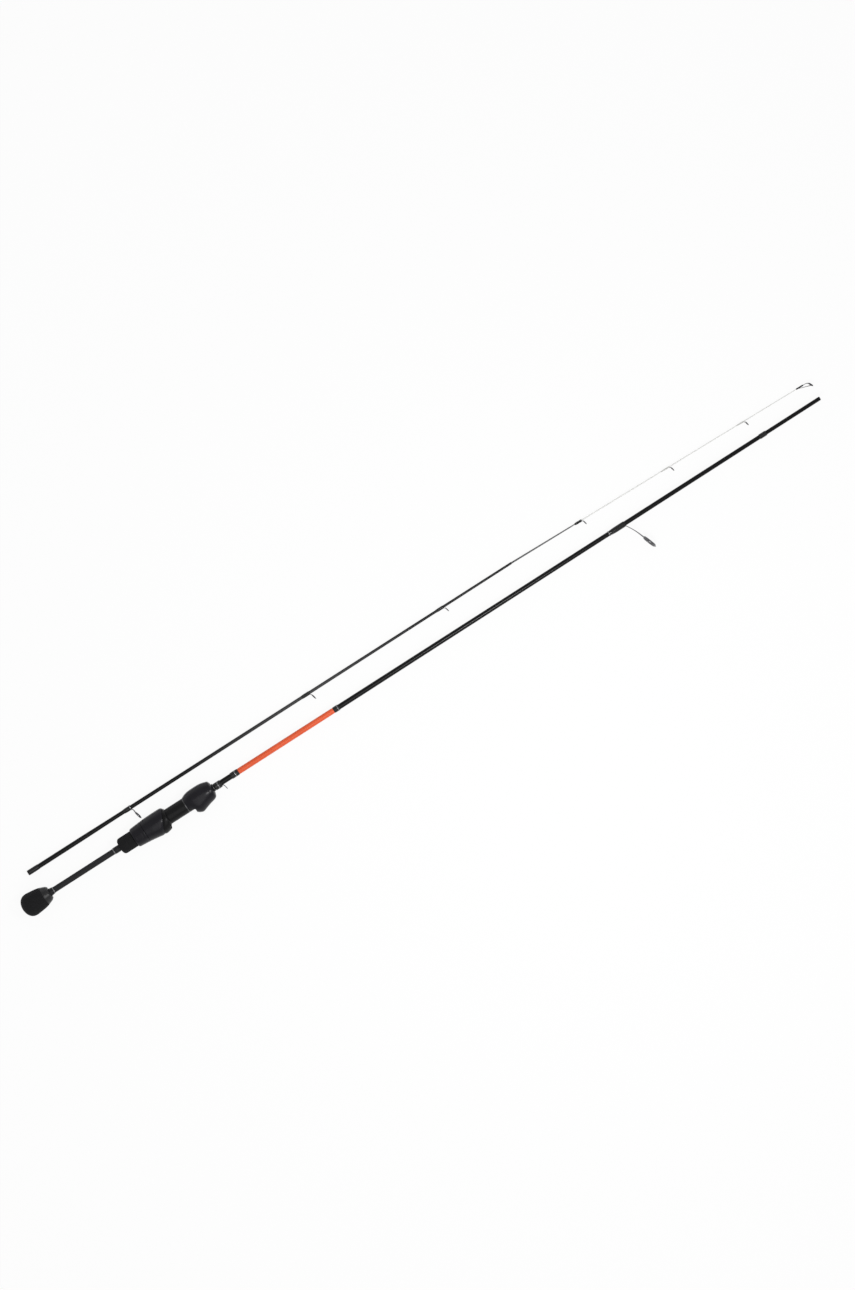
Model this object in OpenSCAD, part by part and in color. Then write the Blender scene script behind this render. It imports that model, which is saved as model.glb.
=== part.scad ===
// Two-piece ultralight spinning rod, its two sections lying side by side.
// The origin is on the rod's axis at the middle of the open reel seat.
// X runs along the rod towards the tip, the reel and the guides are on the -Y side, Z is up.

/* [Butt section] */
// Length of the butt section from the knob's end to the ferrule's end
butt_len = 1035; // [900:1:1200]
// Distance from the knob's end to the middle of the reel seat
seat_from_end = 200; // [180:1:260]
// Diameter of the blank behind the reel seat
butt_blank_d = 6.66; // [6:0.02:7.4]
// Diameter of the blank where it reaches the ferrule
butt_end_d = 4.64; // [4.6:0.02:5.4]
// Wall of the butt blank
butt_wall = 0.9; // [0.6:0.05:1.1]

/* [Ferrule] */
// Diameter of the male ferrule
ferrule_d = 4.4; // [3.8:0.02:4.5]
// Length of the male ferrule beyond its stop wrap
ferrule_len = 69; // [50:1:90]
// Radial clearance of the tip section's socket on the ferrule
ferrule_clear = 0.03; // [0.02:0.01:0.08]
// Length of the plug that closes the ferrule
plug_len = 6; // [4:0.5:12]

/* [Knob] */
// Length of the foam knob
knob_len = 35; // [28:0.5:60]
// Largest diameter of the foam knob
knob_d = 26.4; // [24:0.2:32]
// Diameter of the knob where its front slope begins
knob_front_d = 17.9; // [14:0.1:20]
// Length of the knob's front slope
knob_nose_len = 2.9; // [2:0.1:6]
// Diameter of the knob's front end
knob_nose_d = 13.8; // [11:0.1:14]
// Length of the blank inside the knob
knob_seat_len = 28; // [20:0.5:40]
// Length of the black collar in front of the knob
knob_collar_len = 4.2; // [3:0.1:8]

/* [Reel seat] */
// Diameter of the seat's barrel
barrel_d = 17.56; // [16.4:0.02:19]
// Length of bare barrel between the two hoods with the seat open
barrel_gap = 23; // [20:0.5:32]
// Diameter of the hollow through the barrel
barrel_bore_d = 12; // [10:0.1:13]
// Length of barrel that reaches into the front hood
barrel_front_len = 28; // [22:0.5:30]
// Thread pitch of the barrel and the lock nut
thread_pitch = 2; // [1.5:0.25:2.5]
// Turns that the lock nut makes from open to closed
nut_turns = 8; // [5:1:8]
// Width of the keyway that stops the sliding hood from turning
key_w = 2.4; // [1.6:0.1:3.2]
// Depth of the keyway
key_depth = 1; // [0.6:0.1:1.4]

/* [Hoods] */
// Length of the fixed front hood
front_hood_len = 34.3; // [33:0.1:44]
// Thickness of the front hood over the barrel, away from the reel
front_hood_back = 3.3; // [2.4:0.1:5]
// Rise of the front hood over the barrel on the reel side
front_hood_rise = 7.5; // [6.4:0.1:9]
// Length of the front hood's steep front face
front_face_len = 1.5; // [1.5:0.1:4]
// Diameter of the front hood's front rim
front_rim_d = 11.4; // [10:0.1:15]
// Length of the sliding hood
hood_len = 29.5; // [28:0.1:40]
// Thickness of the sliding hood over the barrel, away from the reel
hood_back = 4.1; // [3:0.1:5]
// Rise of the sliding hood over the barrel on the reel side
hood_rise = 6.4; // [6:0.1:8]
// Height of the pockets that take the ends of a reel foot
pocket_h = 4.4; // [4.1:0.1:4.6]
// Width of the pockets that take the ends of a reel foot
pocket_w = 16; // [12:0.2:17]
// Depth of the front hood's pocket
front_pocket_len = 17; // [12:0.5:18]
// Depth of the sliding hood's pocket
rear_pocket_len = 16; // [10:0.5:17]
// Distance on the axis from the hood's front end back to the soft shell's edge
cap_len = 6.4; // [4:0.1:9]
// Lean of the soft shell's front edge, in degrees
cap_lean = 24.6; // [0:0.2:28]
// Step from the soft shell down to the hard cap
cap_step = 0.4; // [0.2:0.05:0.6]
// Length of the hard carrier inside the sliding hood
carrier_len = 10; // [6:0.5:11]
// Thickness of the hard carrier inside the sliding hood
carrier_t = 1.3; // [0.8:0.1:1.8]

/* [Lock nut and rear grip] */
// Length of the lock nut
nut_len = 14; // [10:0.5:16]
// Diameter of the lock nut at the hood
nut_front_d = 24.6; // [23.6:0.1:26]
// Diameter of the lock nut at the rear grip
nut_back_d = 22.7; // [21:0.1:23.2]
// Thickness of the nut's threaded core
nut_core_t = 0.9; // [0.6:0.1:1.2]
// Length of the foam rear grip
rear_grip_len = 18.2; // [14:0.1:30]
// Diameter of the foam rear grip
rear_grip_d = 18.8; // [18:0.1:20]
// Length of the collar behind the rear grip
rear_check_len = 7; // [4:0.1:12]

/* [Foregrip and sleeve] */
// Length of the winding check in front of the front hood
front_check_len = 1.8; // [1.5:0.1:4]
// Length of the wrap over the hook keeper's feet
keeper_wrap_len = 8.6; // [7:0.1:14]
// Height of the hook keeper's loop over the blank
keeper_h = 6; // [4:0.1:9]
// Length of the wrap behind the orange sleeve
sleeve_wrap_len = 9.6; // [6:0.1:14]
// Distance from the seat's middle to the rear end of the orange sleeve
sleeve_x = 79.8; // [78:0.1:90]
// Length of the orange sleeve
sleeve_len = 123.5; // [80:0.5:180]
// Thickness of the orange sleeve
sleeve_t = 0.16; // [0.1:0.02:0.4]
// Length of the black band at the front end of the orange sleeve
sleeve_band_len = 6.8; // [4:0.1:12]

/* [Stripper guide] */
// Distance from the seat's middle to the centre of the stripper guide's ring
stripper_x = 593.5; // [500:0.5:640]
// Outside diameter of the stripper guide
stripper_d = 18.4; // [14:0.1:20]
// Height of the stripper guide's ring centre over the blank's axis
stripper_h = 31.1; // [24:0.1:34]
// Forward lean of the stripper guide's ring, in degrees
stripper_lean = 23.6; // [10:0.2:30]
// Length of the stripper guide's wrap
stripper_wrap_len = 19.7; // [14:0.1:24]
// Distance from the stripper's wrap forward to the ring centre
stripper_reach = 12; // [10.5:0.1:16]

/* [Tip section] */
// Length of the hollow tube of the tip section
tube_len = 628.7; // [560:0.1:680]
// Diameter of the tube at its socket end
tube_root_d = 5.44; // [5.4:0.02:6]
// Diameter of the tube where the socket's swelling ends
tube_mid_d = 4.6; // [4.2:0.02:4.8]
// Diameter of the tube at its front end
tube_end_d = 2.6; // [2.5:0.02:3]
// Wall of the tube in front of the socket
tube_wall = 0.45; // [0.35:0.01:0.5]
// Length of the taper between the socket and the slim tube
socket_taper_len = 40; // [30:1:60]
// Length of the wrap that strengthens the socket's mouth
socket_wrap_len = 13.7; // [8:0.1:20]
// Length of the solid tip that shows in front of the tube
solid_len = 373.3; // [340:0.1:400]
// Length of the solid tip that is glued into the tube
splice_len = 40; // [25:1:60]
// Diameter of the solid tip where it leaves the tube
solid_root_d = 2.1; // [1.9:0.02:2.2]
// Diameter of the solid tip at the fourth guide
solid_mid_d = 1.3; // [1.2:0.02:1.6]
// Diameter of the solid tip at its end
solid_end_d = 0.84; // [0.8:0.02:1]
// Bend of the solid tip towards the guides, in degrees
droop = 1.33; // [0:0.05:2]

/* [Tip guides] */
// Distance from the socket's mouth to the first guide's ring
guide_1_x = 135.8; // [128:0.1:140]
// Distance from the socket's mouth to the second guide's ring
guide_2_x = 367.7; // [300:0.1:420]
// Distance from the socket's mouth to the third guide's ring
guide_3_x = 542.1; // [480:0.1:555]
// Distance from the tube's end to the fourth guide's ring
guide_4_out = 92; // [76:0.1:131]
// Distance from the tube's end to the fifth guide's ring
guide_5_out = 204.3; // [171:0.1:231]
// Distance from the tube's end to the sixth guide's ring
guide_6_out = 299.9; // [271:0.1:310]
// Outside diameter of the first guide
large_guide_d = 10.5; // [9.4:0.1:10.8]
// Outside diameter of the second guide
medium_guide_d = 7; // [6:0.1:8]
// Outside diameter of the third to sixth guides
micro_guide_d = 5.7; // [5:0.1:6.4]
// Height of the first guide's ring centre over the tube's surface
large_guide_h = 9.1; // [8.4:0.1:9.4]
// Height of the second guide's ring centre over the tube's surface
medium_guide_h = 4.4; // [4.3:0.1:6]
// Height of the third to sixth guides' ring centres over the rod's surface
micro_guide_h = 3.3; // [3.3:0.1:5]
// Forward lean of the tip guides' rings, in degrees
guide_lean = 18; // [8:0.5:26]
// Length of each tip guide's wrap
guide_wrap_len = 10; // [7:0.1:12]
// Distance from a tip guide's wrap forward to its ring centre
guide_reach = 1.8; // [1.5:0.1:4]
// Extra thickness of the fourth guide's wrap, which also marks the change of colour
joint_wrap_extra = 0.35; // [0.1:0.05:0.6]

/* [Tip top] */
// Outside diameter of the tip top's ring
tip_top_d = 6.5; // [5.4:0.1:7]
// Height of the tip top's ring centre over the tip's axis
tip_top_h = 3.8; // [3.6:0.1:4.6]
// Length of the tip top's tube
tip_top_tube_len = 8; // [6:0.1:12]
// Distance from the tip top's tube forward to its ring centre
tip_top_reach = 8.4; // [6.5:0.1:10]
// Lean of the tip top's ring, in degrees
tip_top_lean = 35; // [20:1:45]

/* [Layout] */
// Distance from the socket's mouth back to the middle of the reel seat
tip_lay_x = 174.7; // [160:0.1:176]
// Distance between the axes of the two sections as they lie
tip_lay_y = 30.7; // [30.4:0.1:45]
// Height of the tip section's axis below the butt section's axis
tip_lay_drop = 7.2; // [4:0.1:7.4]

/* [Hidden] */
$fn = 64;

// Small fits and trim sizes
fit = 0.03;           // radial room between glued pieces
slide_fit = 0.08;     // radial room of the sliding hood on the barrel
turn_fit = 0.05;      // radial room of the nut on the thread
part_gap = 0.3;       // gap between pieces that move past each other
seat_gap = 0.1;       // gap between neighbouring pieces on the blank
ring_len = 1.2;       // length of a bright trim ring
ring_t = 0.45;        // thickness of a bright trim ring over what it sits on
band_t = 0.12;        // thickness of a bright thread band over its wrap
edge = 0.3;           // small edge break on turned pieces
wrap_t = 0.5;         // thickness of a plain wrap on the blank
check_t = 0.9;        // thickness of a check collar over the blank
thread_h = 0.6;       // height of the thread
thread_ease = 0.18;   // how far the thread's crests lie under the barrel's surface
tail_step = 1.4;      // step down from the barrel to its tail inside the rear grip
arbor_len = 12;       // length of one bush between blank and barrel
round_fn = 48;        // points round a lofted hood
loft_n = 24;          // rings along a lofted hood
wire_fn = 10;         // points round a guide's wire
leg_n = 8;            // steps along one leg of a guide
arc_n = 28;           // steps round the ring of a guide
leg_turn = 65;        // angle from the ring's side next to the rod to where a leg joins it

barrel_r = barrel_d / 2;
knob_x = -seat_from_end;
knob_front_x = knob_x + knob_len;
knob_ring_x = knob_front_x + knob_collar_len + seat_gap;
ferrule_end_x = butt_len - seat_from_end;
ferrule_x = ferrule_end_x - ferrule_len;
stop_wrap_len = 8.7;
blank_x = knob_front_x - knob_seat_len;

// Stations of the reel seat along X
front_ring_x = barrel_gap / 2 - ring_len / 2;
front_hood_x = front_ring_x + ring_len;
front_hood_end = front_hood_x + front_hood_len;
hood_front = -barrel_gap / 2 - seat_gap;
hood_rear = hood_front - hood_len;
nut_front = hood_rear - part_gap;
nut_rear = nut_front - nut_len;
grip_front = nut_rear - part_gap;
grip_rear = grip_front - rear_grip_len;
rear_check_x = grip_rear - seat_gap - rear_check_len;
rear_ring_x = rear_check_x - seat_gap - ring_len;
barrel_rear = grip_rear + 4;
barrel_front = front_hood_x + barrel_front_len;
hood_travel = thread_pitch * nut_turns;
thread_front = nut_front + hood_travel + thread_pitch;
tail_r = barrel_r - tail_step;

// Stations in front of the reel seat
front_check_x = front_hood_end + seat_gap;
keeper_wrap_x = front_check_x + front_check_len + seat_gap;
keeper_wrap_end = keeper_wrap_x + keeper_wrap_len;
sleeve_end = sleeve_x + sleeve_len;

// Radius of the butt blank: straight under the grip, then one even taper to the ferrule
function blank_r(x) = lookup(x, [[rear_ring_x, butt_blank_d / 2], [ferrule_x, butt_end_d / 2]]);

// Radius of the tip section along its own axis, from the socket's mouth to the tip
socket_depth = ferrule_len + 1;
socket_r = ferrule_d / 2 + ferrule_clear;
solid_end = tube_len + solid_len;
tube_taper = [
    [0, tube_root_d / 2],
    [socket_depth, max(tube_root_d / 2 - 0.12, socket_r + 0.3)],
    [socket_depth + socket_taper_len, tube_mid_d / 2],
    [tube_len, tube_end_d / 2]
];
solid_taper = [
    [tube_len, solid_root_d / 2],
    [tube_len + guide_4_out, solid_mid_d / 2],
    [solid_end, solid_end_d / 2]
];
function tip_r(u) = u <= tube_len ? lookup(u, tube_taper) : lookup(u, solid_taper);

// One row for each tip guide: ring place, ring diameter, height, wire, foot and wrap sizes
function guide_row(x, d, h, wire, wall, foot_t, foot_w, skin) = [x, d, h, wire, wall, foot_t, foot_w, skin];
function micro_row(x, extra) =
    guide_row(x, micro_guide_d, tip_r(x) + micro_guide_h, 0.6, 0.5, 0.2, 0.8, 0.2 + extra);
guides = [
    guide_row(guide_1_x, large_guide_d, tip_r(guide_1_x) + large_guide_h, 0.9, 0.8, 0.3, 1.4, 0.25),
    guide_row(guide_2_x, medium_guide_d, tip_r(guide_2_x) + medium_guide_h, 0.7, 0.6, 0.2, 1, 0.2),
    micro_row(guide_3_x, 0),
    micro_row(tube_len + guide_4_out, joint_wrap_extra),
    micro_row(tube_len + guide_5_out, 0),
    micro_row(tube_len + guide_6_out, 0)
];
stripper = guide_row(stripper_x, stripper_d, stripper_h, 1, 1.3, 0.5, 2.2, 0.3);
guide_count = len(guides);

// Colours as they show on the object
foam_color = [0.13, 0.13, 0.14];
grip_color = [0.15, 0.145, 0.165];
barrel_color = [0.08, 0.08, 0.085];
carbon_color = [0.06, 0.06, 0.06];
wrap_color = [0.04, 0.04, 0.04];
silver_color = [0.8, 0.8, 0.82];
orange_color = [0.9, 0.41, 0.27];
frame_color = [0.3, 0.3, 0.32];
ceramic_color = [0.2, 0.2, 0.21];
tip_color = [0.92, 0.92, 0.9];
plastic_color = [0.1, 0.1, 0.1];
pale_wrap_color = [0.75, 0.75, 0.74];

guide_parts = ["wrap", "frame", "ring"];

// Smooth curve through hand-placed stations: value at x, with slopes taken from the neighbours
function station(p, x) = len([for (q = p) if (q[0] <= x) 1]) - 1;
function slope(p, i) =
    let (a = max(i - 1, 0), b = min(i + 1, len(p) - 1))
    (p[b][1] - p[a][1]) / (p[b][0] - p[a][0]);
function curve(p, x) =
    let (
        i = min(max(station(p, x), 0), len(p) - 2),
        w = p[i + 1][0] - p[i][0],
        t = (x - p[i][0]) / w
    )
    p[i][1] * (2 * t * t * t - 3 * t * t + 1)
    + slope(p, i) * w * (t * t * t - 2 * t * t + t)
    + p[i + 1][1] * (3 * t * t - 2 * t * t * t)
    + slope(p, i + 1) * w * (t * t * t - t * t);

// Solid turned about the X axis from points given as [radius, x]
module turned(points) {
    rotate([0, 90, 0]) rotate_extrude() polygon(points);
}

// Bore about the X axis from x0 to x1
module bore(x0, x1, r) {
    translate([x0, 0, 0]) rotate([0, 90, 0]) cylinder(h = x1 - x0, r = r);
}

// Thin sleeve on a tapered rod: inside radii at both ends, then outside radii at both ends
module sleeve(x0, x1, in0, in1, out0, out1, brk = edge) {
    turned([
        [in0, x0],
        [max(out0 - brk, in0 + 0.02), x0],
        [out0, x0 + brk],
        [out1, x1 - brk],
        [max(out1 - brk, in1 + 0.02), x1],
        [in1, x1]
    ]);
}

// Sleeve of even thickness on the butt blank
module blank_sleeve(x0, x1, t, brk = edge) {
    a = blank_r(x0);
    b = blank_r(x1);
    sleeve(x0, x1, a + fit, b + fit, a + t, b + t, brk);
}

// Thin bright band that lies round a wrap of the given thickness
module wrap_band(x, t) {
    r = blank_r(x) + t;
    sleeve(x, x + ring_len, r + fit, r + fit, r + fit + band_t, r + fit + band_t, 0.04);
}

// Round bar between two points
module bar(a, b, d) {
    v = b - a;
    n = norm(v);
    translate(a) rotate([0, acos(v[2] / n), atan2(v[1], v[0])]) cylinder(h = n, d = d, $fn = 24);
}

// Point at t on the smooth curve that leaves a towards b and arrives at d from c
function bend(a, b, c, d, t) =
    pow(1 - t, 3) * a + 3 * t * pow(1 - t, 2) * b + 3 * t * t * (1 - t) * c + pow(t, 3) * d;
function unit(v) = v / norm(v);

// Round wire swept along a path; the path is nowhere parallel to the side direction
module swept_wire(path, d, side) {
    n = len(path);
    points = [
        for (i = [0:n - 1])
            let (
                t = unit(path[min(i + 1, n - 1)] - path[max(i - 1, 0)]),
                u = unit(cross(side, t)),
                v = cross(t, u)
            )
            for (k = [0:wire_fn - 1])
                path[i] + d / 2 * (cos(360 * k / wire_fn) * u + sin(360 * k / wire_fn) * v)
    ];
    faces = [
        for (i = [0:n - 2], k = [0:wire_fn - 1])
            let (j = (k + 1) % wire_fn, a = i * wire_fn, b = a + wire_fn)
            each [[a + k, b + k, b + j], [a + k, b + j, a + j]]
    ];
    last = (n - 1) * wire_fn;
    caps = [for (k = [1:wire_fn - 2]) each [[0, k, k + 1], [last, last + k + 1, last + k]]];
    polyhedron(points, concat(faces, caps));
}

// Closed loft along X with egg-shaped rings: each row is [x, side away from reel, reel side, half width]
module egg_loft(rows) {
    n = len(rows);
    ring_points = [
        for (row = rows, k = [0:round_fn - 1])
            let (a = 360 * k / round_fn, c = cos(a))
            [row[0], c * (c > 0 ? row[1] : row[2]), row[3] * sin(a)]
    ];
    ends = [[rows[0][0], 0, 0], [rows[n - 1][0], 0, 0]];
    first = n * round_fn;
    side = [
        for (i = [0:n - 2], k = [0:round_fn - 1])
            let (j = (k + 1) % round_fn, a = i * round_fn, b = (i + 1) * round_fn)
            each [[a + k, b + j, b + k], [a + k, a + j, b + j]]
    ];
    caps = [
        for (k = [0:round_fn - 1])
            let (j = (k + 1) % round_fn, b = (n - 1) * round_fn)
            each [[first, j, k], [first + 1, b + k, b + j]]
    ];
    polyhedron(concat(ring_points, ends), concat(side, caps));
}

// Rings of a hood from three smooth outlines
function hood_rows(x0, x1, back, reel, half, n = loft_n) =
    [
        for (i = [0:n])
            let (x = x0 + (x1 - x0) * i / n)
            [x, curve(back, x), curve(reel, x), curve(half, x)]
    ];
function lowered(line, step) = [for (p = line) [p[0], p[1] - step]];

// Pocket for one end of a reel foot, on the reel side of the barrel, from x0 to x1
module foot_pocket(x0, x1) {
    roof_y = 2.2;
    roof_r = barrel_r + pocket_h - roof_y;
    intersection() {
        translate([0, -roof_y, 0]) bore(x0, x1, roof_r);
        translate([x0, -barrel_r - 2 * pocket_h, -pocket_w / 2])
            cube([x1 - x0, 2 * pocket_h + barrel_r, pocket_w]);
    }
}

// Foam knob at the butt end, round at the back and tapering to a recessed front rim
knob_r = knob_d / 2;
knob_rim_r = knob_front_d / 2;
knob_back_len = 12;
function knob_back(t) = [knob_r * sqrt(1 - pow(1 - t, 2.6)), knob_x + knob_back_len * t];
knob_front = [
    [knob_x + knob_back_len, knob_r],
    [knob_x + 0.7 * knob_len, 0.875 * knob_r],
    [knob_front_x - knob_nose_len, knob_rim_r]
];
knob_collar_r = butt_blank_d / 2 + 0.6;
knob_collar_flare = 0.6;
module butt_knob() {
    recess = 1.2;
    recess_r = knob_collar_r + knob_collar_flare + seat_gap;
    back = [for (i = [0:10]) knob_back(i / 10)];
    front = [
        for (i = [1:9])
            let (x = knob_x + knob_back_len + (knob_len - knob_back_len - knob_nose_len) * i / 9)
            [curve(knob_front, x), x]
    ];
    color(foam_color) difference() {
        turned(concat(
            back,
            front,
            [
                [knob_nose_d / 2, knob_front_x],
                [recess_r, knob_front_x],
                [recess_r, knob_front_x - recess],
                [0, knob_front_x - recess]
            ]
        ));
        bore(blank_x - seat_gap, knob_front_x + 1, butt_blank_d / 2 + fit);
    }
}

// Black collar on the blank in front of the knob, its rear end in the knob's recess
module knob_collar() {
    in_r = butt_blank_d / 2 + fit;
    rear_r = knob_collar_r + knob_collar_flare;
    color(plastic_color)
        sleeve(knob_front_x - 1, knob_front_x + knob_collar_len, in_r, in_r, rear_r, knob_collar_r);
}

module knob_trim_ring() {
    color(silver_color) blank_sleeve(knob_ring_x, knob_ring_x + ring_len, ring_t, 0.15);
}

// Hollow carbon blank of the butt section, with the straight male ferrule at its front end
module butt_blank() {
    ferrule_r = ferrule_d / 2;
    nose = 0.6;
    color(carbon_color) turned([
        [butt_blank_d / 2 - butt_wall, blank_x],
        [butt_blank_d / 2, blank_x],
        [butt_blank_d / 2, rear_ring_x],
        [butt_end_d / 2, ferrule_x - nose],
        [ferrule_r, ferrule_x],
        [ferrule_r, ferrule_end_x - nose],
        [ferrule_r - nose / 2, ferrule_end_x],
        [ferrule_r - butt_wall, ferrule_end_x],
        [ferrule_r - butt_wall, ferrule_x],
        [butt_blank_d / 2 - butt_wall, rear_ring_x]
    ]);
}

// Plug glued into the end of the hollow ferrule
module ferrule_plug() {
    color(plastic_color) bore(ferrule_end_x - plug_len, ferrule_end_x - 0.2, ferrule_d / 2 - butt_wall - fit);
}

module ferrule_stop_wrap() {
    color(wrap_color) blank_sleeve(ferrule_x - stop_wrap_len - 1, ferrule_x - 1, wrap_t, 0.4);
}

module rear_trim_ring() {
    color(silver_color) blank_sleeve(rear_ring_x, rear_ring_x + ring_len, ring_t, 0.15);
}

module rear_check() {
    color(plastic_color) blank_sleeve(rear_check_x, rear_check_x + rear_check_len, ring_t, 0.2);
}

// Foam rear grip over the barrel's tail, with a rounded rear end
module rear_grip() {
    r = rear_grip_d / 2;
    round_r = 4;
    in_r = butt_blank_d / 2 + fit;
    arc = [for (a = [0:15:90]) [r - round_r + round_r * sin(a), grip_rear + round_r - round_r * cos(a)]];
    color(foam_color) turned(concat(
        [[in_r, grip_rear]],
        arc,
        [
            [r, grip_front - edge],
            [r - edge, grip_front],
            [tail_r + fit, grip_front],
            [tail_r + fit, barrel_rear - seat_gap],
            [in_r, barrel_rear - seat_gap]
        ]
    ));
}

// Barrel of the reel seat: tail in the rear grip, ring-cut thread under the nut, smooth seat and keyway
module seat_barrel() {
    crest_r = barrel_r - thread_ease;
    root_r = crest_r - thread_h;
    flat = thread_pitch / 4;
    thread_x = grip_front + seat_gap;
    count = floor((thread_front - thread_x) / thread_pitch);
    thread = [
        for (i = [0:count - 1])
            let (x = thread_x + i * thread_pitch)
            each [
                [root_r, x],
                [root_r, x + flat],
                [crest_r, x + 2 * flat],
                [crest_r, x + 3 * flat]
            ]
    ];
    smooth_x = thread_x + count * thread_pitch;
    color(barrel_color) difference() {
        turned(concat(
            [[barrel_bore_d / 2, barrel_rear], [tail_r, barrel_rear], [tail_r, thread_x]],
            thread,
            [
                [root_r, smooth_x],
                [root_r, smooth_x + flat],
                [barrel_r, smooth_x + 2 * flat],
                [barrel_r, front_ring_x - fit],
                [barrel_r - ring_t, front_ring_x - fit],
                [barrel_r - ring_t, front_hood_x],
                [barrel_r, front_hood_x],
                [barrel_r, barrel_front],
                [barrel_bore_d / 2, barrel_front]
            ]
        ));
        translate([hood_rear - 1, barrel_r - key_depth, -key_w / 2])
            cube([front_ring_x - seat_gap - hood_rear, 2 * key_depth, key_w]);
    }
}

// Three bushes that centre the barrel on the blank
module seat_arbors() {
    centers = [barrel_rear + arbor_len, 0, barrel_front - arbor_len];
    color(plastic_color) for (x = centers) {
        blank_sleeve(x - arbor_len / 2, x + arbor_len / 2, barrel_bore_d / 2 - fit - blank_r(x));
    }
}

// Bright ring set flush in a groove of the barrel, against the front hood
module barrel_trim_ring() {
    r = barrel_r - ring_t + fit;
    color(silver_color) sleeve(front_ring_x, front_hood_x - fit, r, r, barrel_r, barrel_r, 0.1);
}

// Fixed front hood: a smooth bulb, fuller on the reel side, with the front pocket inside
front_back = [
    [front_hood_x, barrel_r + 0.4],
    [front_hood_x + 4.2, barrel_r + 0.63 * front_hood_back],
    [front_hood_x + 9, barrel_r + 0.94 * front_hood_back],
    [front_hood_x + 0.6 * front_hood_len, barrel_r + front_hood_back],
    [front_hood_end - 8.6, barrel_r + 0.84 * front_hood_back],
    [front_hood_end - 4, barrel_r + 0.44 * front_hood_back],
    [front_hood_end - front_face_len, barrel_r + 0.1 * front_hood_back],
    [front_hood_end, front_rim_d / 2]
];
front_reel = [
    [front_hood_x, barrel_r + 0.45],
    [front_hood_x + 3.4, barrel_r + 0.26 * front_hood_rise],
    [front_hood_x + 8, barrel_r + 0.77 * front_hood_rise],
    [front_hood_x + 12.4, barrel_r + front_hood_rise],
    [front_hood_x + 17, barrel_r + 0.84 * front_hood_rise],
    [front_hood_end - 10.8, barrel_r + 0.57 * front_hood_rise],
    [front_hood_end - 4, barrel_r + 0.33 * front_hood_rise],
    [front_hood_end - front_face_len, barrel_r + 0.08 * front_hood_rise],
    [front_hood_end, front_rim_d / 2]
];
module front_hood() {
    rim_w = 1.6;
    recess = 1;
    color(grip_color) difference() {
        egg_loft(hood_rows(front_hood_x, front_hood_end, front_back, front_reel, front_back));
        bore(front_hood_x - 1, barrel_front + seat_gap, barrel_r + fit);
        bore(barrel_front, front_hood_end + 1, butt_blank_d / 2 + fit);
        bore(front_hood_end - recess, front_hood_end + 1, front_rim_d / 2 - rim_w);
        foot_pocket(front_hood_x - 1, front_hood_x + front_pocket_len);
    }
}

// Winding check that closes the front hood's face
module front_check() {
    color(plastic_color) blank_sleeve(front_check_x, front_check_x + front_check_len, check_t + ring_t, 0.4);
}

// Wrap over the hook keeper's two feet
keeper_d = 0.8;
keeper_wrap_t = keeper_d + 0.25;
keeper_foot_y = blank_r(keeper_wrap_end) + fit + keeper_d / 2;
module keeper_wrap() {
    grow = 2 * fit;
    color(wrap_color) difference() {
        blank_sleeve(keeper_wrap_x, keeper_wrap_end, keeper_wrap_t, 0.5);
        for (s = [-1, 1]) translate([keeper_wrap_x - 1, 0, 0]) rotate([s * keeper_turn, 0, 0])
            translate([0, -keeper_foot_y - keeper_d / 2 - grow, -keeper_d / 2 - grow])
                cube([keeper_wrap_len + 2, keeper_d + 2 * grow + keeper_d / 2, keeper_d + 2 * grow]);
    }
}

module keeper_band() {
    color(silver_color) wrap_band(keeper_wrap_x + keeper_wrap_len / 2, keeper_wrap_t);
}

// Wire hook keeper: two feet along the blank and a loop that leans forward
keeper_turn = 22;
keeper_lean = 2.7;
keeper_half = keeper_foot_y * sin(keeper_turn);
keeper_n = 9;
function keeper_leg(s) =
    let (
        foot = [keeper_wrap_x + 1.5, -keeper_foot_y * cos(keeper_turn), s * keeper_half],
        knee = [keeper_wrap_end + 0.6, foot[1], foot[2]],
        top = [keeper_wrap_end + keeper_lean, -blank_r(keeper_wrap_end) - keeper_h, s * 0.15 * keeper_half],
        leave = knee + [1.6, 0, 0],
        arrive = top + [-0.2, 0.7, s * keeper_half]
    )
    concat([foot], [for (i = [0:keeper_n]) bend(knee, leave, arrive, top, i / keeper_n)]);
module hook_keeper() {
    up = keeper_leg(-1);
    down = keeper_leg(1);
    path = concat(up, [for (i = [len(down) - 1:-1:0]) down[i]]);
    color(frame_color) swept_wire(path, keeper_d, [0.6, 0.8, 0]);
}

module sleeve_wrap() {
    color(wrap_color)
        blank_sleeve(sleeve_x - seat_gap - sleeve_wrap_len, sleeve_x - seat_gap, wrap_t, 0.3);
}

module sleeve_wrap_band() {
    color(silver_color) wrap_band(sleeve_x - sleeve_wrap_len / 2, wrap_t);
}

module orange_sleeve() {
    color(orange_color) blank_sleeve(sleeve_x, sleeve_end, fit + sleeve_t, 0.05);
}

module sleeve_end_wrap() {
    color(wrap_color)
        blank_sleeve(sleeve_end + seat_gap, sleeve_end + seat_gap + sleeve_band_len, wrap_t - 0.1, 0.3);
}

module sleeve_end_band() {
    color(silver_color) wrap_band(sleeve_end + 0.7 * sleeve_band_len, wrap_t - 0.1);
}

// Ring guide parts in a frame whose X axis is the rod's axis and whose origin is under the ring's centre
function ring_r(g) = (g[1] - g[3]) / 2;
function insert_r(g) = ring_r(g) - g[3] / 2 - fit;
function foot_y(g, r) = r + fit + g[5] / 2;
function wrap_r(g, r) = r + g[5] + g[7];

// Places its children in the ring's own plane: Z is the ring's axis, X points away from the rod
module ring_place(g, lean) {
    translate([0, -g[2], 0]) rotate([0, 0, lean]) rotate([0, 90, 0]) rotate([0, 0, -90]) children();
}

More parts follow.
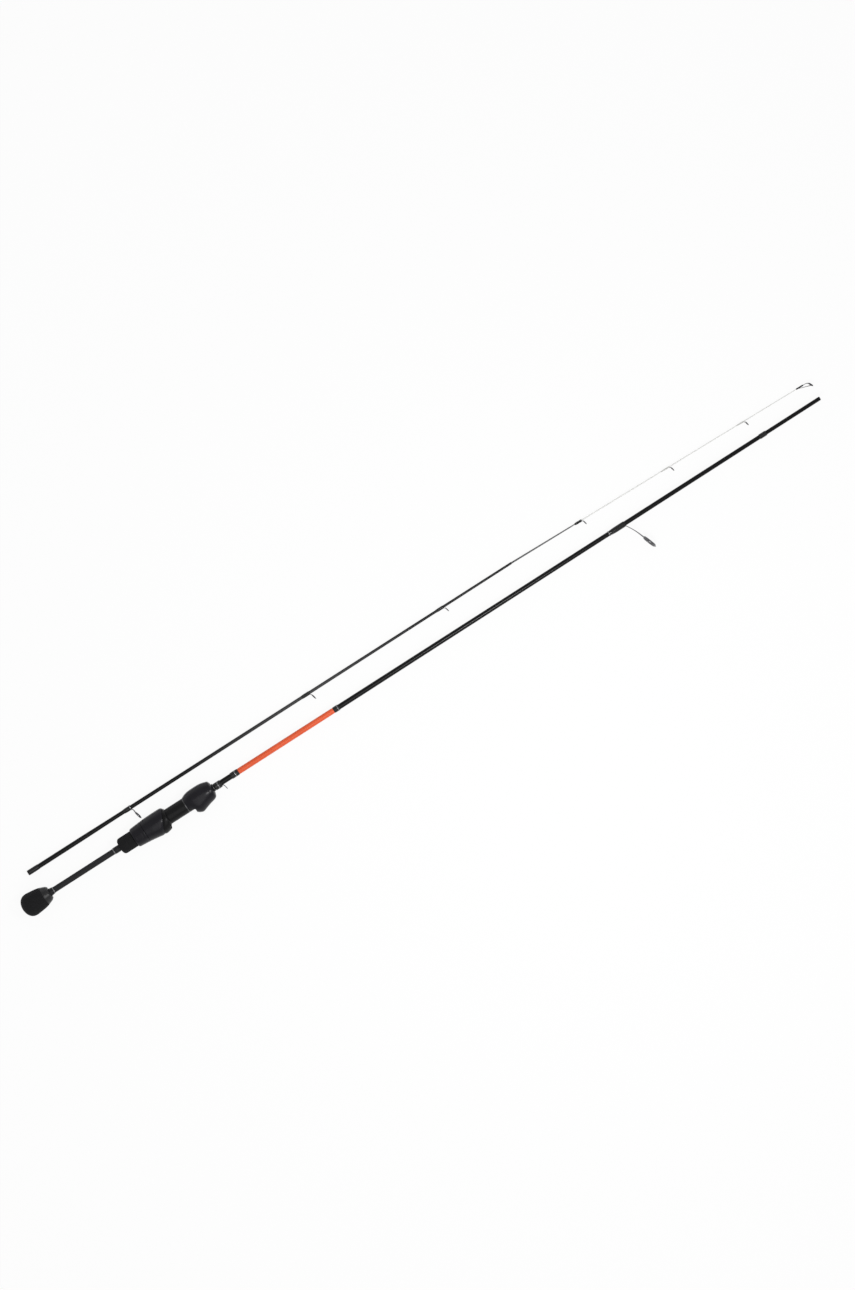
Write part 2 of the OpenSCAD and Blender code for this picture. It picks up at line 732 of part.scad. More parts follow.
// Point on the frame's ring at an angle from the side next to the rod, or outside it by the given distance
function ring_point(g, lean, a, out = 0) =
    let (r = ring_r(g) + out, along = r * cos(a))
    [-along * sin(lean), -g[2] + along * cos(lean), r * sin(a)];

// Path of a guide's wire: up one leg from its root, round the ring's far side and down the other leg
function leg_path(g, lean, root, rise, s) =
    let (
        a = root_side(root, s),
        d = ring_point(g, lean, s * leg_turn),
        pull = 0.42 * norm(d - a),
        away = [sin(leg_turn) * sin(lean), -sin(leg_turn) * cos(lean), s * cos(leg_turn)]
    )
    [for (i = [0:leg_n - 1]) bend(a, a + pull * root_side(rise, s), d - pull * away, d, i / leg_n)];
function root_side(root, s) = [root[0], root[1], s * root[2]];
function ring_arc(g, lean) =
    [for (i = [0:arc_n]) ring_point(g, lean, -leg_turn - (360 - 2 * leg_turn) * i / arc_n)];
function frame_path(g, lean, root, rise) =
    let (down = leg_path(g, lean, root, rise, 1))
    concat(
        leg_path(g, lean, root, rise, -1),
        ring_arc(g, lean),
        [for (i = [leg_n - 1:-1:0]) down[i]]
    );

// Wire frame with one foot and a single wire that makes both legs and the ring round the insert
module guide_frame(g, r, lean, wrap_len, reach, rise) {
    foot_len = wrap_len - 1.5;
    y0 = -foot_y(g, r);
    half = max(g[6] / 2 - g[3] / 2, 0.55 * g[3]);
    color(frame_color) {
        translate([-reach - foot_len, y0 - g[5] / 2, -g[6] / 2]) cube([foot_len + 0.1, g[5], g[6]]);
        translate([-reach + 0.05, y0 - g[5] / 2 - 0.3 * g[3], -half - 0.4 * g[3]])
            cube([1.1 * g[3], g[5] + 0.3 * g[3], 2 * half + 0.8 * g[3]]);
        root = [-reach + 0.05 + 0.5 * g[3], y0 - 0.1 * g[3], half];
        swept_wire(frame_path(g, lean, root, unit(rise)), g[3], [cos(lean), sin(lean), 0]);
    }
}

// Smooth ceramic insert, rounded on both sides
module guide_ring(g, lean) {
    half = g[4] / 2;
    color(ceramic_color) ring_place(g, lean) rotate_extrude() {
        translate([insert_r(g) - half, half / 2]) circle(r = half, $fn = 32);
        translate([insert_r(g) - half, -half / 2]) circle(r = half, $fn = 32);
        translate([insert_r(g) - 2 * half, -half / 2]) square([2 * half, half]);
    }
}

// Wrap over a guide's foot, with tapered ends and a slot for the foot
module guide_wrap(g, r0, r1, wrap_len, reach, tint) {
    taper = 1.6;
    grow = fit;
    color(tint) difference() {
        turned([
            [r0 + fit, -reach - wrap_len],
            [r0 + 0.5 * (g[5] + g[7]), -reach - wrap_len],
            [wrap_r(g, r0), -reach - wrap_len + taper],
            [wrap_r(g, r1), -reach - 0.3],
            [wrap_r(g, r1) - 0.15, -reach],
            [r1 + fit, -reach]
        ]);
        translate([-reach - wrap_len + 1.2, -foot_y(g, r0) - g[5] / 2 - grow, -g[6] / 2 - grow])
            cube([wrap_len, g[5] + 3 * grow, g[6] + 2 * grow]);
    }
}

module stripper_wrap() {
    r0 = blank_r(stripper_x - stripper_reach - stripper_wrap_len);
    r1 = blank_r(stripper_x - stripper_reach);
    translate([stripper_x, 0, 0]) guide_wrap(stripper, r0, r1, stripper_wrap_len, stripper_reach, wrap_color);
}

// Bright band on the rear slope of the stripper's wrap
module stripper_band() {
    x = stripper_x - stripper_reach - stripper_wrap_len - seat_gap - ring_len;
    color(silver_color) blank_sleeve(x, x + ring_len, ring_t, 0.1);
}

module stripper_frame() {
    r = blank_r(stripper_x - stripper_reach - stripper_wrap_len);
    translate([stripper_x, 0, 0])
        guide_frame(stripper, r, stripper_lean, stripper_wrap_len, stripper_reach, [0.5, -0.8, 0.1]);
}

module stripper_ring() {
    translate([stripper_x, 0, 0]) guide_ring(stripper, stripper_lean);
}

// Sliding hood: smooth soft shell, fuller on the reel side, with a leaning front edge
hood_back_line = [
    [hood_rear, nut_front_d / 2],
    [hood_rear + 0.35 * hood_len, barrel_r + hood_back],
    [hood_front - 5, barrel_r + hood_back],
    [hood_front - 1.6, barrel_r + 0.88 * hood_back],
    [hood_front, barrel_r + 0.55 * hood_back]
];
hood_reel_line = [
    [hood_rear, nut_front_d / 2],
    [hood_rear + 0.35 * hood_len, barrel_r + 0.775 * hood_rise],
    [hood_front - 11, barrel_r + hood_rise],
    [hood_front - 5.5, barrel_r + 0.87 * hood_rise],
    [hood_front - 2.4, barrel_r + 0.7 * hood_rise],
    [hood_front, barrel_r + 0.48 * hood_rise]
];
carrier_r = barrel_r + slide_fit + carrier_t;
module sliding_hood() {
    color(grip_color) difference() {
        egg_loft(hood_rows(hood_rear, hood_front, hood_back_line, hood_reel_line, hood_back_line));
        bore(hood_rear - 1, hood_front + 1, barrel_r + slide_fit);
        bore(hood_rear - 1, hood_rear + carrier_len + seat_gap, carrier_r + fit);
        foot_pocket(hood_front - rear_pocket_len, hood_front + 1);
        lean_half(hood_front - cap_len, 1);
    }
}

// Everything in front of (1) or behind (-1) the plane that leans like the soft shell's front edge
module lean_half(x, side) {
    size = 4 * barrel_d;
    translate([x, 0, 0]) rotate([0, 0, -cap_lean])
        translate([side > 0 ? 0 : -size, -size / 2, -size / 2]) cube(size);
}

// Hard cap at the hood's front, a step lower than the shell, with the pocket's mouth in it
module hood_cap() {
    rows = 12;
    start = hood_front - cap_len - (barrel_r + hood_rise) * tan(cap_lean) - 1;
    back = lowered(hood_back_line, cap_step);
    reel = lowered(hood_reel_line, cap_step);
    color(plastic_color) difference() {
        egg_loft(hood_rows(start, hood_front, back, reel, back, rows));
        bore(start - 1, hood_front + 1, barrel_r + slide_fit);
        foot_pocket(hood_front - rear_pocket_len, hood_front + 1);
        lean_half(hood_front - cap_len + seat_gap, -1);
    }
}

// Hard carrier glued into the hood, with the key that runs in the barrel's keyway
module hood_carrier() {
    key_room = 0.15;
    color(plastic_color) {
        difference() {
            bore(hood_rear, hood_rear + carrier_len, carrier_r);
            bore(hood_rear - 1, hood_rear + carrier_len + 1, barrel_r + slide_fit);
        }
        translate([hood_rear, barrel_r - key_depth + key_room, -key_w / 2 + key_room])
            cube([carrier_len, key_depth - key_room + slide_fit + carrier_t / 2, key_w - 2 * key_room]);
    }
}

// Lock nut: soft shell round the threaded core, wider towards the hood
nut_bore_r = barrel_r - thread_ease + turn_fit;
nut_core_r = nut_bore_r + nut_core_t;
module lock_nut() {
    shoulder = 3;
    back_r = nut_back_d / 2;
    front_r = nut_front_d / 2;
    lip = 0.5;
    rear_r = nut_core_r + fit + lip;
    arc = [
        for (a = [0:15:90])
            [rear_r + (back_r - rear_r) * sin(a), nut_rear + shoulder - shoulder * cos(a)]
    ];
    color(grip_color) turned(concat(
        [[nut_core_r + fit, nut_rear]],
        [[rear_r, nut_rear]],
        [for (i = [1:len(arc) - 1]) arc[i]],
        [[front_r, nut_front - edge], [front_r - edge, nut_front], [nut_core_r + fit, nut_front]]
    ));
}

// Threaded core of the lock nut, with a plain bore over the thread's crests
module nut_core() {
    color(plastic_color) difference() {
        bore(nut_rear, nut_front, nut_core_r);
        bore(nut_rear - 1, nut_front + 1, nut_bore_r);
    }
}

// Frame of the tip section: origin at the socket's mouth, X along the tube
module tip_place() {
    translate([-tip_lay_x, tip_lay_y, -tip_lay_drop]) children();
}

// Station u on the tip section's axis, turned with the solid tip's bend where it lies beyond the tube
module on_tip(u) {
    tip_place() translate([tube_len, 0, 0]) rotate([0, 0, u > tube_len ? -droop : 0])
        translate([u - tube_len, 0, 0]) children();
}

// Hollow tube with the socket for the ferrule and a bore for the solid tip
module tip_tube() {
    slim_x = socket_depth + socket_taper_len;
    splice_x = tube_len - splice_len - 1;
    splice_r = solid_root_d / 2 + fit;
    color(carbon_color) tip_place() turned([
        [socket_r, 0],
        [tube_taper[0][1], 0],
        [tube_taper[1][1], socket_depth],
        [tube_taper[2][1], slim_x],
        [tube_taper[3][1], tube_len],
        [splice_r, tube_len],
        [splice_r, splice_x],
        [max(splice_r, tip_r(splice_x) - tube_wall), splice_x],
        [tip_r(slim_x) - tube_wall, slim_x],
        [socket_r - 0.2, socket_depth],
        [socket_r, socket_depth]
    ]);
}

// Wrap that strengthens the mouth of the socket
module socket_wrap() {
    skin = 0.26;
    a = tip_r(0);
    b = tip_r(socket_wrap_len);
    color(wrap_color) tip_place() sleeve(0, socket_wrap_len, a + fit, b + fit, a + skin, b + skin, 0.1);
}

// Solid glass tip: a straight root glued into the tube, then the slim bent tip
module solid_tip() {
    root_r = solid_root_d / 2;
    start_r = root_r - 0.06;
    overlap = 2;
    color(tip_color) {
        tip_place() bore(tube_len - splice_len, tube_len, root_r);
        on_tip(tube_len + overlap) turned([
            [0, -2 * overlap],
            [start_r, -2 * overlap],
            [start_r, -overlap],
            [solid_mid_d / 2, guide_4_out - overlap],
            [solid_end_d / 2, solid_len - overlap],
            [0, solid_len - overlap]
        ]);
    }
}

function guide_root_r(g) = tip_r(g[0] - guide_reach - guide_wrap_len);
module tip_guide_wrap(i) {
    g = guides[i];
    tint = i < 4 ? wrap_color : pale_wrap_color;
    on_tip(g[0]) guide_wrap(g, guide_root_r(g), tip_r(g[0] - guide_reach), guide_wrap_len, guide_reach, tint);
}
module tip_guide_frame(i) {
    g = guides[i];
    on_tip(g[0]) guide_frame(g, guide_root_r(g), guide_lean, guide_wrap_len, guide_reach, [0.3, -0.5, 0.8]);
}
module tip_guide_ring(i) {
    on_tip(guides[i][0]) guide_ring(guides[i], guide_lean);
}

// Bright band round the front end of the first guide's wrap
module guide_1_band() {
    u = guide_1_x - guide_reach - 0.5 - ring_len;
    r = wrap_r(guides[0], tip_r(u)) + fit;
    color(silver_color) tip_place() sleeve(u, u + ring_len, r, r, r + band_t, r + band_t, 0.04);
}

// Tip top: a tube over the tip's end, two legs, two braces and the ring for the insert
tip_top = guide_row(0, tip_top_d, tip_top_h, 0.7, 0.6, 0, 0, 0);
tip_top_x = solid_end + tip_top_reach;
module tip_top_frame() {
    tube_t = 0.35;
    in_r = lookup(solid_end - tip_top_tube_len, solid_taper) + fit;
    tube_r = in_r + tube_t;
    brace_turn = 115;
    brace_out = 0.2;
    brace_d = 0.5;
    root = [-tip_top_reach + 0.3, 0, 0.4];
    color(frame_color) on_tip(tip_top_x) {
        difference() {
            bore(-tip_top_reach - tip_top_tube_len, -tip_top_reach + 0.8, tube_r);
            bore(-tip_top_reach - tip_top_tube_len - 1, -tip_top_reach + fit, in_r);
        }
        swept_wire(frame_path(tip_top, tip_top_lean, root, [1, 0, 0]), tip_top[3],
            [cos(tip_top_lean), sin(tip_top_lean), 0]);
        for (s = [-1, 1]) bar(
            [-tip_top_reach - 0.6 * tip_top_tube_len, -tube_r + 0.1, s * 0.2],
            ring_point(tip_top, tip_top_lean, s * brace_turn, brace_out),
            brace_d
        );
    }
}
module tip_top_ring() {
    on_tip(tip_top_x) guide_ring(tip_top, tip_top_lean);
}

butt_knob();
knob_collar();
knob_trim_ring();
butt_blank();
ferrule_plug();
ferrule_stop_wrap();
rear_trim_ring();
rear_check();
rear_grip();
seat_barrel();
seat_arbors();
barrel_trim_ring();
front_hood();
front_check();
keeper_wrap();
keeper_band();
hook_keeper();
sleeve_wrap();
sleeve_wrap_band();
orange_sleeve();
sleeve_end_wrap();
sleeve_end_band();
stripper_wrap();
stripper_band();
stripper_frame();
stripper_ring();
sliding_hood();
hood_cap();
hood_carrier();
lock_nut();
nut_core();
tip_tube();
socket_wrap();
solid_tip();
guide_1_band();
tip_top_frame();
tip_top_ring();
for (i = [0:guide_count - 1]) {
    tip_guide_wrap(i);
    tip_guide_frame(i);
    tip_guide_ring(i);
}
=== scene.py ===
"""Two-piece spinning rod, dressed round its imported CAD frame."""
import math

import bmesh
import bpy
import numpy as np
from mathutils import Matrix, Vector, noise


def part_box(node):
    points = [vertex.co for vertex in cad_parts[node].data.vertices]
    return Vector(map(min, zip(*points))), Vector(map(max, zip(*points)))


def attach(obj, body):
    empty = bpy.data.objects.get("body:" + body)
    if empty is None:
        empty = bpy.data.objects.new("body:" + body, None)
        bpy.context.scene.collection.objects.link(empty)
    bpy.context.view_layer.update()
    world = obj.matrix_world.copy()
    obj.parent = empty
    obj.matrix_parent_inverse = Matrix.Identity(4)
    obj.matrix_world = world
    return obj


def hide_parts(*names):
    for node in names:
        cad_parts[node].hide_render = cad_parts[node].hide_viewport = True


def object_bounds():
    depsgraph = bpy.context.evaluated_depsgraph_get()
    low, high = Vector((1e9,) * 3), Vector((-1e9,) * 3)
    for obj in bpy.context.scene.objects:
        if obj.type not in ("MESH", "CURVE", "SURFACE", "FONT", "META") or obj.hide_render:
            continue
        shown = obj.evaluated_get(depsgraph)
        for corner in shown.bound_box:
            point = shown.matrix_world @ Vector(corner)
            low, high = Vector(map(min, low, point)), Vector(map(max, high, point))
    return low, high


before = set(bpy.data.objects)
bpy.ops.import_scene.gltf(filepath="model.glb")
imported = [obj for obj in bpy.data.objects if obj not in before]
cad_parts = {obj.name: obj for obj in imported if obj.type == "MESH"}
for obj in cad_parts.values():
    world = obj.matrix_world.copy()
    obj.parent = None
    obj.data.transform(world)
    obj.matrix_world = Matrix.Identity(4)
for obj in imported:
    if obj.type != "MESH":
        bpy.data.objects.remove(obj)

CAD_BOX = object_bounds()
MM = 0.001

# Small sizes of the guides that the frame doesn't hold, in millimetres
FOOT_T = {"stripper": 0.5, "guide_1": 0.3}
SMALL_FOOT_T = 0.2
WIRE_D = {"stripper": 1.0, "guide_1": 0.9, "guide_2": 0.7, "tip_top": 0.7}
MICRO_WIRE_D = 0.6
FOOT_W = {"stripper": 2.2, "guide_1": 1.4, "guide_2": 1.0}
MICRO_FOOT_W = 0.8

# Sizes that several pieces share, in metres
GLUE_FIT = 0.03 * MM
SLIDE_FIT = 0.08 * MM
WRAP_FIT = 0.02 * MM
AXIS_R = 0.02 * MM
THREAD_PITCH = 2 * MM
LEG_TURN = math.radians(65)

# Fineness of the meshes
LATHE_STEPS = 96
WIRE_STEPS = 16
RING_STEPS = 72
SHELL_ROWS = 72
SHELL_COLS = 96


# Reading the frame

def mesh_points(node):
    """The CAD node's vertices, in metres."""
    return np.array([v.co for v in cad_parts[node].data.vertices], float)


def x_span(node):
    """Lowest and highest X of a CAD node."""
    low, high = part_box(node)
    return low[0], high[0]


def centre(node):
    """Middle of a CAD node's box."""
    low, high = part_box(node)
    return (Vector(low) + Vector(high)) / 2


def half_height(node):
    """Half of a CAD node's height, which is the outer radius of a turned piece."""
    low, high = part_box(node)
    return (high[2] - low[2]) / 2


def widest(pairs):
    """X stations in order with the largest radius at each, from (x, radius) pairs."""
    stations = {}
    for x, r in pairs:
        stations[x] = max(stations.get(x, 0), r)
    keys = sorted(stations)
    return np.array(keys), np.array([stations[k] for k in keys])


def outline(node, axis_y, axis_z):
    """X stations on the outside of a turned CAD node with the largest radius at each."""
    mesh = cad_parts[node].data
    pairs = []
    for face in mesh.polygons:
        out = (face.center.y - axis_y) * face.normal.y + (face.center.z - axis_z) * face.normal.z
        if out > 0:
            corners = [mesh.vertices[i].co for i in face.vertices]
            pairs += [(round(co.x, 6), math.hypot(co.y - axis_y, co.z - axis_z)) for co in corners]
    return widest(pairs)


BARREL_R = half_height("barrel_trim_ring")
TIP_AXIS = centre("socket_wrap")
TUBE_END = x_span("tip_tube")[1]
TIP_END_X = x_span("solid_tip")[1]
BUTT_OUTLINE = outline("butt_blank", 0, 0)
TUBE_OUTLINE = outline("tip_tube", TIP_AXIS.y, TIP_AXIS.z)


def tip_slope():
    """Slope of the solid tip's bend, from the middle of its far end."""
    points = mesh_points("solid_tip")
    end = points[points[:, 0] > TIP_END_X - 1 * MM]
    return (end[:, 1].mean() - TIP_AXIS.y) / (TIP_END_X - TUBE_END)


TIP_SLOPE = tip_slope()
TIP_TURN = math.atan(TIP_SLOPE)


def tip_axis_at(x):
    """Point on the tip section's axis, which bends where the tube ends."""
    beyond = max(x - TUBE_END, 0)
    return Vector((x, TIP_AXIS.y + beyond * TIP_SLOPE, TIP_AXIS.z))


def solid_stations():
    """X stations of the solid tip with its radius at each, measured across its CAD mesh in Z."""
    points = mesh_points("solid_tip")
    xs, radii = widest(zip(np.round(points[:, 0], 4), np.abs(points[:, 2] - TIP_AXIS.z)))
    outside = radii > 0.3 * MM
    return xs[outside], radii[outside]


SOLID_OUTLINE = solid_stations()


def solid_radius(x):
    """Radius of the solid tip at X."""
    return float(np.interp(x, *SOLID_OUTLINE))


def butt_radius(x):
    """Outer radius of the butt blank at X."""
    return float(np.interp(x, *BUTT_OUTLINE))


def tip_radius(x):
    """Outer radius of the tip section's rod at X."""
    if x <= TUBE_END:
        return float(np.interp(x, *TUBE_OUTLINE))
    return solid_radius(x)


def rod_of(body):
    """Axis and outer radius, both by X, of the rod that a body's wraps sit on."""
    if body == "tip_section":
        return tip_axis_at, tip_radius
    return None, butt_radius


# Building meshes

def smooth_shade(obj, sharp_deg=34):
    """Shades an object smooth, with sharp edges past an angle."""
    obj.data.polygons.foreach_set("use_smooth", [True] * len(obj.data.polygons))
    obj.data.set_sharp_from_angle(angle=math.radians(sharp_deg))


def add_object(name, data):
    """New object in the scene."""
    obj = bpy.data.objects.new(name, data)
    bpy.context.scene.collection.objects.link(obj)
    return obj


def add_mesh(name, verts, faces, sharp_deg=40):
    """New smooth object from points and faces, with sharp edges past an angle."""
    mesh = bpy.data.meshes.new(name)
    mesh.from_pydata([tuple(v) for v in verts], [], faces)
    bm = bmesh.new()
    bm.from_mesh(mesh)
    bmesh.ops.recalc_face_normals(bm, faces=bm.faces)
    bm.to_mesh(mesh)
    bm.free()
    obj = add_object(name, mesh)
    smooth_shade(obj, sharp_deg)
    return obj


def grid_faces(rows, cols, wrap_rows=False):
    """Quads of a grid whose columns close round, and whose rows may close too."""
    faces = []
    for i in range(rows if wrap_rows else rows - 1):
        a = i * cols
        b = ((i + 1) % rows) * cols
        for k in range(cols):
            j = (k + 1) % cols
            faces.append((a + k, b + k, b + j, a + j))
    return faces


def capped_faces(rows, cols):
    """Quads of a grid whose columns close round, with a cap on each end."""
    last = (rows - 1) * cols
    return grid_faces(rows, cols) + [tuple(range(cols)), tuple(reversed(range(last, last + cols)))]


def turned_points(loop, axis=None, radius_of=None, steps=LATHE_STEPS):
    """Points of a loop of (x, r) turned about the X direction.

    axis gives the centre at each x, and radius_of may change a radius by x and angle."""
    points = []
    for x, r in loop:
        c = axis(x) if axis else Vector((x, 0, 0))
        for k in range(steps):
            a = 2 * math.pi * k / steps
            rr = radius_of(x, r, a) if radius_of else r
            points.append((x, c.y + rr * math.cos(a), c.z + rr * math.sin(a)))
    return points


def turned_ring(name, loop, axis=None, radius_of=None, steps=LATHE_STEPS, sharp_deg=40):
    """Hollow turned piece: the loop of (x, r) points closes on itself."""
    points = turned_points(loop, axis, radius_of, steps)
    return add_mesh(name, points, grid_faces(len(loop), steps, True), sharp_deg)


def arc(cx, cr, radius, start_deg, end_deg, count):
    """Points (x, r) of a round corner about (cx, cr)."""
    out = []
    for i in range(count + 1):
        a = math.radians(start_deg + (end_deg - start_deg) * i / count)
        out.append((cx + radius * math.cos(a), cr + radius * math.sin(a)))
    return out


def sweep(path, radius, side, closed=False):
    """Points and faces of a round wire along a path, with end caps unless it closes."""
    count = len(path)
    points = []
    for i, p in enumerate(path):
        after = path[(i + 1) % count] if closed else path[min(i + 1, count - 1)]
        before = path[i - 1] if closed else path[max(i - 1, 0)]
        t = (after - before).normalized()
        u = side.cross(t).normalized()
        v = t.cross(u)
        r = radius(i / (count - 1)) if callable(radius) else radius
        for k in range(WIRE_STEPS):
            a = 2 * math.pi * k / WIRE_STEPS
            points.append(p + r * (math.cos(a) * u + math.sin(a) * v))
    faces = grid_faces(count, WIRE_STEPS, True) if closed else capped_faces(count, WIRE_STEPS)
    return points, faces


def joined(name, parts, matrix, sharp_deg=40):
    """One object from several lists of points and faces, moved by a matrix."""
    verts = []
    faces = []
    for points, quads in parts:
        start = len(verts)
        verts += [matrix @ Vector(p) for p in points]
        faces += [tuple(start + i for i in f) for f in quads]
    return add_mesh(name, verts, faces, sharp_deg)


def bezier(a, b, c, d, count):
    """Points along the smooth curve that leaves a towards b and reaches d from c."""
    out = []
    for i in range(count):
        t = i / (count - 1)
        s = 1 - t
        out.append(s ** 3 * a + 3 * t * s * s * b + 3 * t * t * s * c + t ** 3 * d)
    return out


def smooth_line(stations, x):
    """Smooth curve through given (x, value) stations."""
    i = max(0, min(sum(1 for q in stations if q[0] <= x) - 1, len(stations) - 2))

    def slope(k):
        a = max(k - 1, 0)
        b = min(k + 1, len(stations) - 1)
        return (stations[b][1] - stations[a][1]) / (stations[b][0] - stations[a][0])

    w = stations[i + 1][0] - stations[i][0]
    t = (x - stations[i][0]) / w
    return (stations[i][1] * (2 * t ** 3 - 3 * t * t + 1) + slope(i) * w * (t ** 3 - 2 * t * t + t)
            + stations[i + 1][1] * (3 * t * t - 2 * t ** 3) + slope(i + 1) * w * (t ** 3 - t * t))


def carve(obj, cutters):
    """Cuts the cutters out of obj for good and removes them."""
    for cutter in cutters:
        mod = obj.modifiers.new("cut", "BOOLEAN")
        mod.operation = "DIFFERENCE"
        mod.solver = "EXACT"
        mod.object = cutter
    apply_modifiers(obj)
    for cutter in cutters:
        bpy.data.objects.remove(cutter, do_unlink=True)


def apply_modifiers(obj):
    """Replaces obj's mesh by what its modifiers make of it."""
    bpy.context.view_layer.update()
    depsgraph = bpy.context.evaluated_depsgraph_get()
    mesh = bpy.data.meshes.new_from_object(obj.evaluated_get(depsgraph))
    obj.modifiers.clear()
    obj.data = mesh


def cylinder_cutter(x0, x1, r):
    """Closed cylinder along X to cut with."""
    return add_mesh("cutter", turned_points([(x0, r), (x1, r)]), capped_faces(2, LATHE_STEPS))


def paint(obj, material):
    """Gives obj one material."""
    obj.data.materials.clear()
    obj.data.materials.append(material)


def place(obj, node, material, body="butt_section"):
    """Rides obj on a body in place of a CAD node and material."""
    paint(obj, material)
    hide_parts(node)
    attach(obj, body)


# Materials

class Tree:
    """Short way to add and link the nodes of a material or of the world."""

    def __init__(self, tree, space):
        self.tree = tree
        self.coords = self.add("TexCoord").outputs[space]

    def add(self, kind, **settings):
        """New node of a kind, with settings that aren't inputs."""
        node = self.tree.nodes.new("ShaderNode" + kind)
        for key, value in settings.items():
            setattr(node, key, value)
        return node

    def link(self, value, socket):
        """Links an output to a socket, or sets the socket to a constant."""
        if isinstance(value, bpy.types.NodeSocket):
            self.tree.links.new(value, socket)
        else:
            socket.default_value = value

    def feed(self, node, **values):
        """Links or sets a node's inputs by their names."""
        for key, value in values.items():
            self.link(value, node.inputs[key.replace("_", " ")])

    def made(self, kind, output, **values):
        """One output of a new node whose inputs are linked or set by their names."""
        node = self.add(kind)
        self.feed(node, **values)
        return node.outputs[output]

    def axis(self, name):
        """One coordinate: of the piece in metres, or of the direction in the world."""
        return self.made("SeparateXYZ", name, Vector=self.coords)

    def math(self, operation, *values):
        node = self.add("Math", operation=operation)
        for value, socket in zip(values, node.inputs):
            self.link(value, socket)
        return node.outputs["Value"]

    def span(self, fac, low, high, out_low, out_high):
        """Maps a factor from one span to another, clamped."""
        return self.made("MapRange", "Result", Value=fac, From_Min=low, From_Max=high,
                         To_Min=out_low, To_Max=out_high)

    def seen(self):
        """One for the rays that see the background: from the camera, mirrored or through glass."""
        rays = self.add("LightPath").outputs
        direct = self.math("MAXIMUM", rays["Is Camera Ray"], rays["Is Glossy Ray"])
        return self.math("MAXIMUM", direct, rays["Is Transmission Ray"])


class Nodes(Tree):
    """Procedural material round one principled shader."""

    def __init__(self, name, color, roughness, metallic=0.0):
        self.material = bpy.data.materials.new(name)
        self.material.use_nodes = True
        super().__init__(self.material.node_tree, "Object")
        self.shader = self.tree.nodes["Principled BSDF"]
        self.set(Base_Color=(*color, 1), Roughness=roughness, Metallic=metallic)

    def set(self, **values):
        """Links or sets the shader's inputs by their names."""
        self.feed(self.shader, **values)

    def noise(self, scale, along=1):
        """Noise at a scale per metre, drawn out along X below one and drawn together above it."""
        source = self.coords
        if along != 1:
            source = self.made("Mapping", "Vector", Vector=source, Scale=(along, 1, 1))
        return self.made("TexNoise", "Fac", Vector=source, Scale=scale, Detail=4.0, Roughness=0.6)

    def cells(self, scale):
        """Distance to the nearest cell point, for foam and stipple."""
        return self.made("TexVoronoi", "Distance", Vector=self.coords, Scale=scale)

    def rings(self, pitch, lean=0.0):
        """Fine lines round the X axis, one each pitch, leaning like a winding."""
        along = self.math("MULTIPLY", self.axis("X"), 2 * math.pi / pitch)
        if lean:
            across = self.math("MULTIPLY", self.axis("Y"), 2 * math.pi * lean / pitch)
            along = self.math("ADD", along, across)
        return self.math("SINE", along)

    def ramp(self, fac, stops):
        """Colour from a factor through (place, colour) stops."""
        node = self.add("ValToRGB")
        elements = node.color_ramp.elements
        while len(elements) < len(stops):
            elements.new(0.5)
        for element, (place_at, color) in zip(elements, stops):
            element.position = place_at
            element.color = (*color, 1)
        self.feed(node, Fac=fac)
        return node.outputs["Color"]

    def mix(self, fac, a, b, blend="MIX"):
        """Colour a with colour b laid over it by a factor."""
        node = self.add("Mix", data_type="RGBA", blend_type=blend)
        self.feed(node, Factor=fac, A=a, B=b)
        return node.outputs["Result"]

    def mottle(self, fac, dark, light):
        """Base colour that goes from dark to light with a factor."""
        self.set(Base_Color=self.ramp(fac, [(0.3, dark), (0.7, light)]))

    def roughness(self, fac, low, high):
        self.set(Roughness=self.span(fac, 0.3, 0.7, low, high))

    def bump(self, height, distance, strength):
        """Adds relief of a depth in metres to the shader's normal, on top of what is there."""
        links = self.shader.inputs["Normal"].links
        below = {"Normal": links[0].from_socket} if links else {}
        values = {"Height": height, "Distance": distance, "Strength": strength, **below}
        self.set(Normal=self.made("Bump", "Normal", **values))


def foam_material(name, sheen_x=None):
    """Closed-cell foam: matte, with a fine cell grain and faint mottling.

    In front of sheen_x it is ground smooth and has a soft sheen."""
    m = Nodes(name, (0.011, 0.011, 0.012), 0.82)
    m.mottle(m.noise(700), (0.0075, 0.0075, 0.008), (0.014, 0.014, 0.015))
    m.roughness(m.noise(260), 0.74, 0.9)
    m.set(Specular_IOR_Level=0.15)
    pores = m.cells(2600)
    lumps = m.noise(420)
    if sheen_x is not None:
        smooth = m.span(m.axis("X"), sheen_x, sheen_x + 0.9 * MM, 0.0, 1.0)
        relief = m.span(smooth, 0.0, 1.0, 1.0, 0.25)
        pores = m.math("MULTIPLY", pores, relief)
        lumps = m.math("MULTIPLY", lumps, relief)
        grain = m.span(m.noise(600), 0.3, 0.7, -0.04, 0.04)
        m.set(Specular_IOR_Level=m.span(smooth, 0.0, 1.0, 0.15, 0.4),
              Roughness=m.math("ADD", m.span(smooth, 0.0, 1.0, 0.8, 0.36), grain))
    m.bump(pores, 0.00012, 0.55)
    m.bump(lumps, 0.00010, 0.5)
    return m.material


def soft_grip_material():
    """Soft-touch moulded plastic: satin with a very fine stipple and a faint violet cast."""
    m = Nodes("soft_grip_black", (0.0095, 0.009, 0.012), 0.36)
    m.mottle(m.noise(150), (0.008, 0.0075, 0.0102), (0.011, 0.0105, 0.014))
    m.roughness(m.noise(320), 0.23, 0.31)
    m.bump(m.cells(5200), 0.000012, 0.35)
    m.bump(m.noise(900), 0.00002, 0.4)
    m.set(Specular_IOR_Level=0.2)
    return m.material


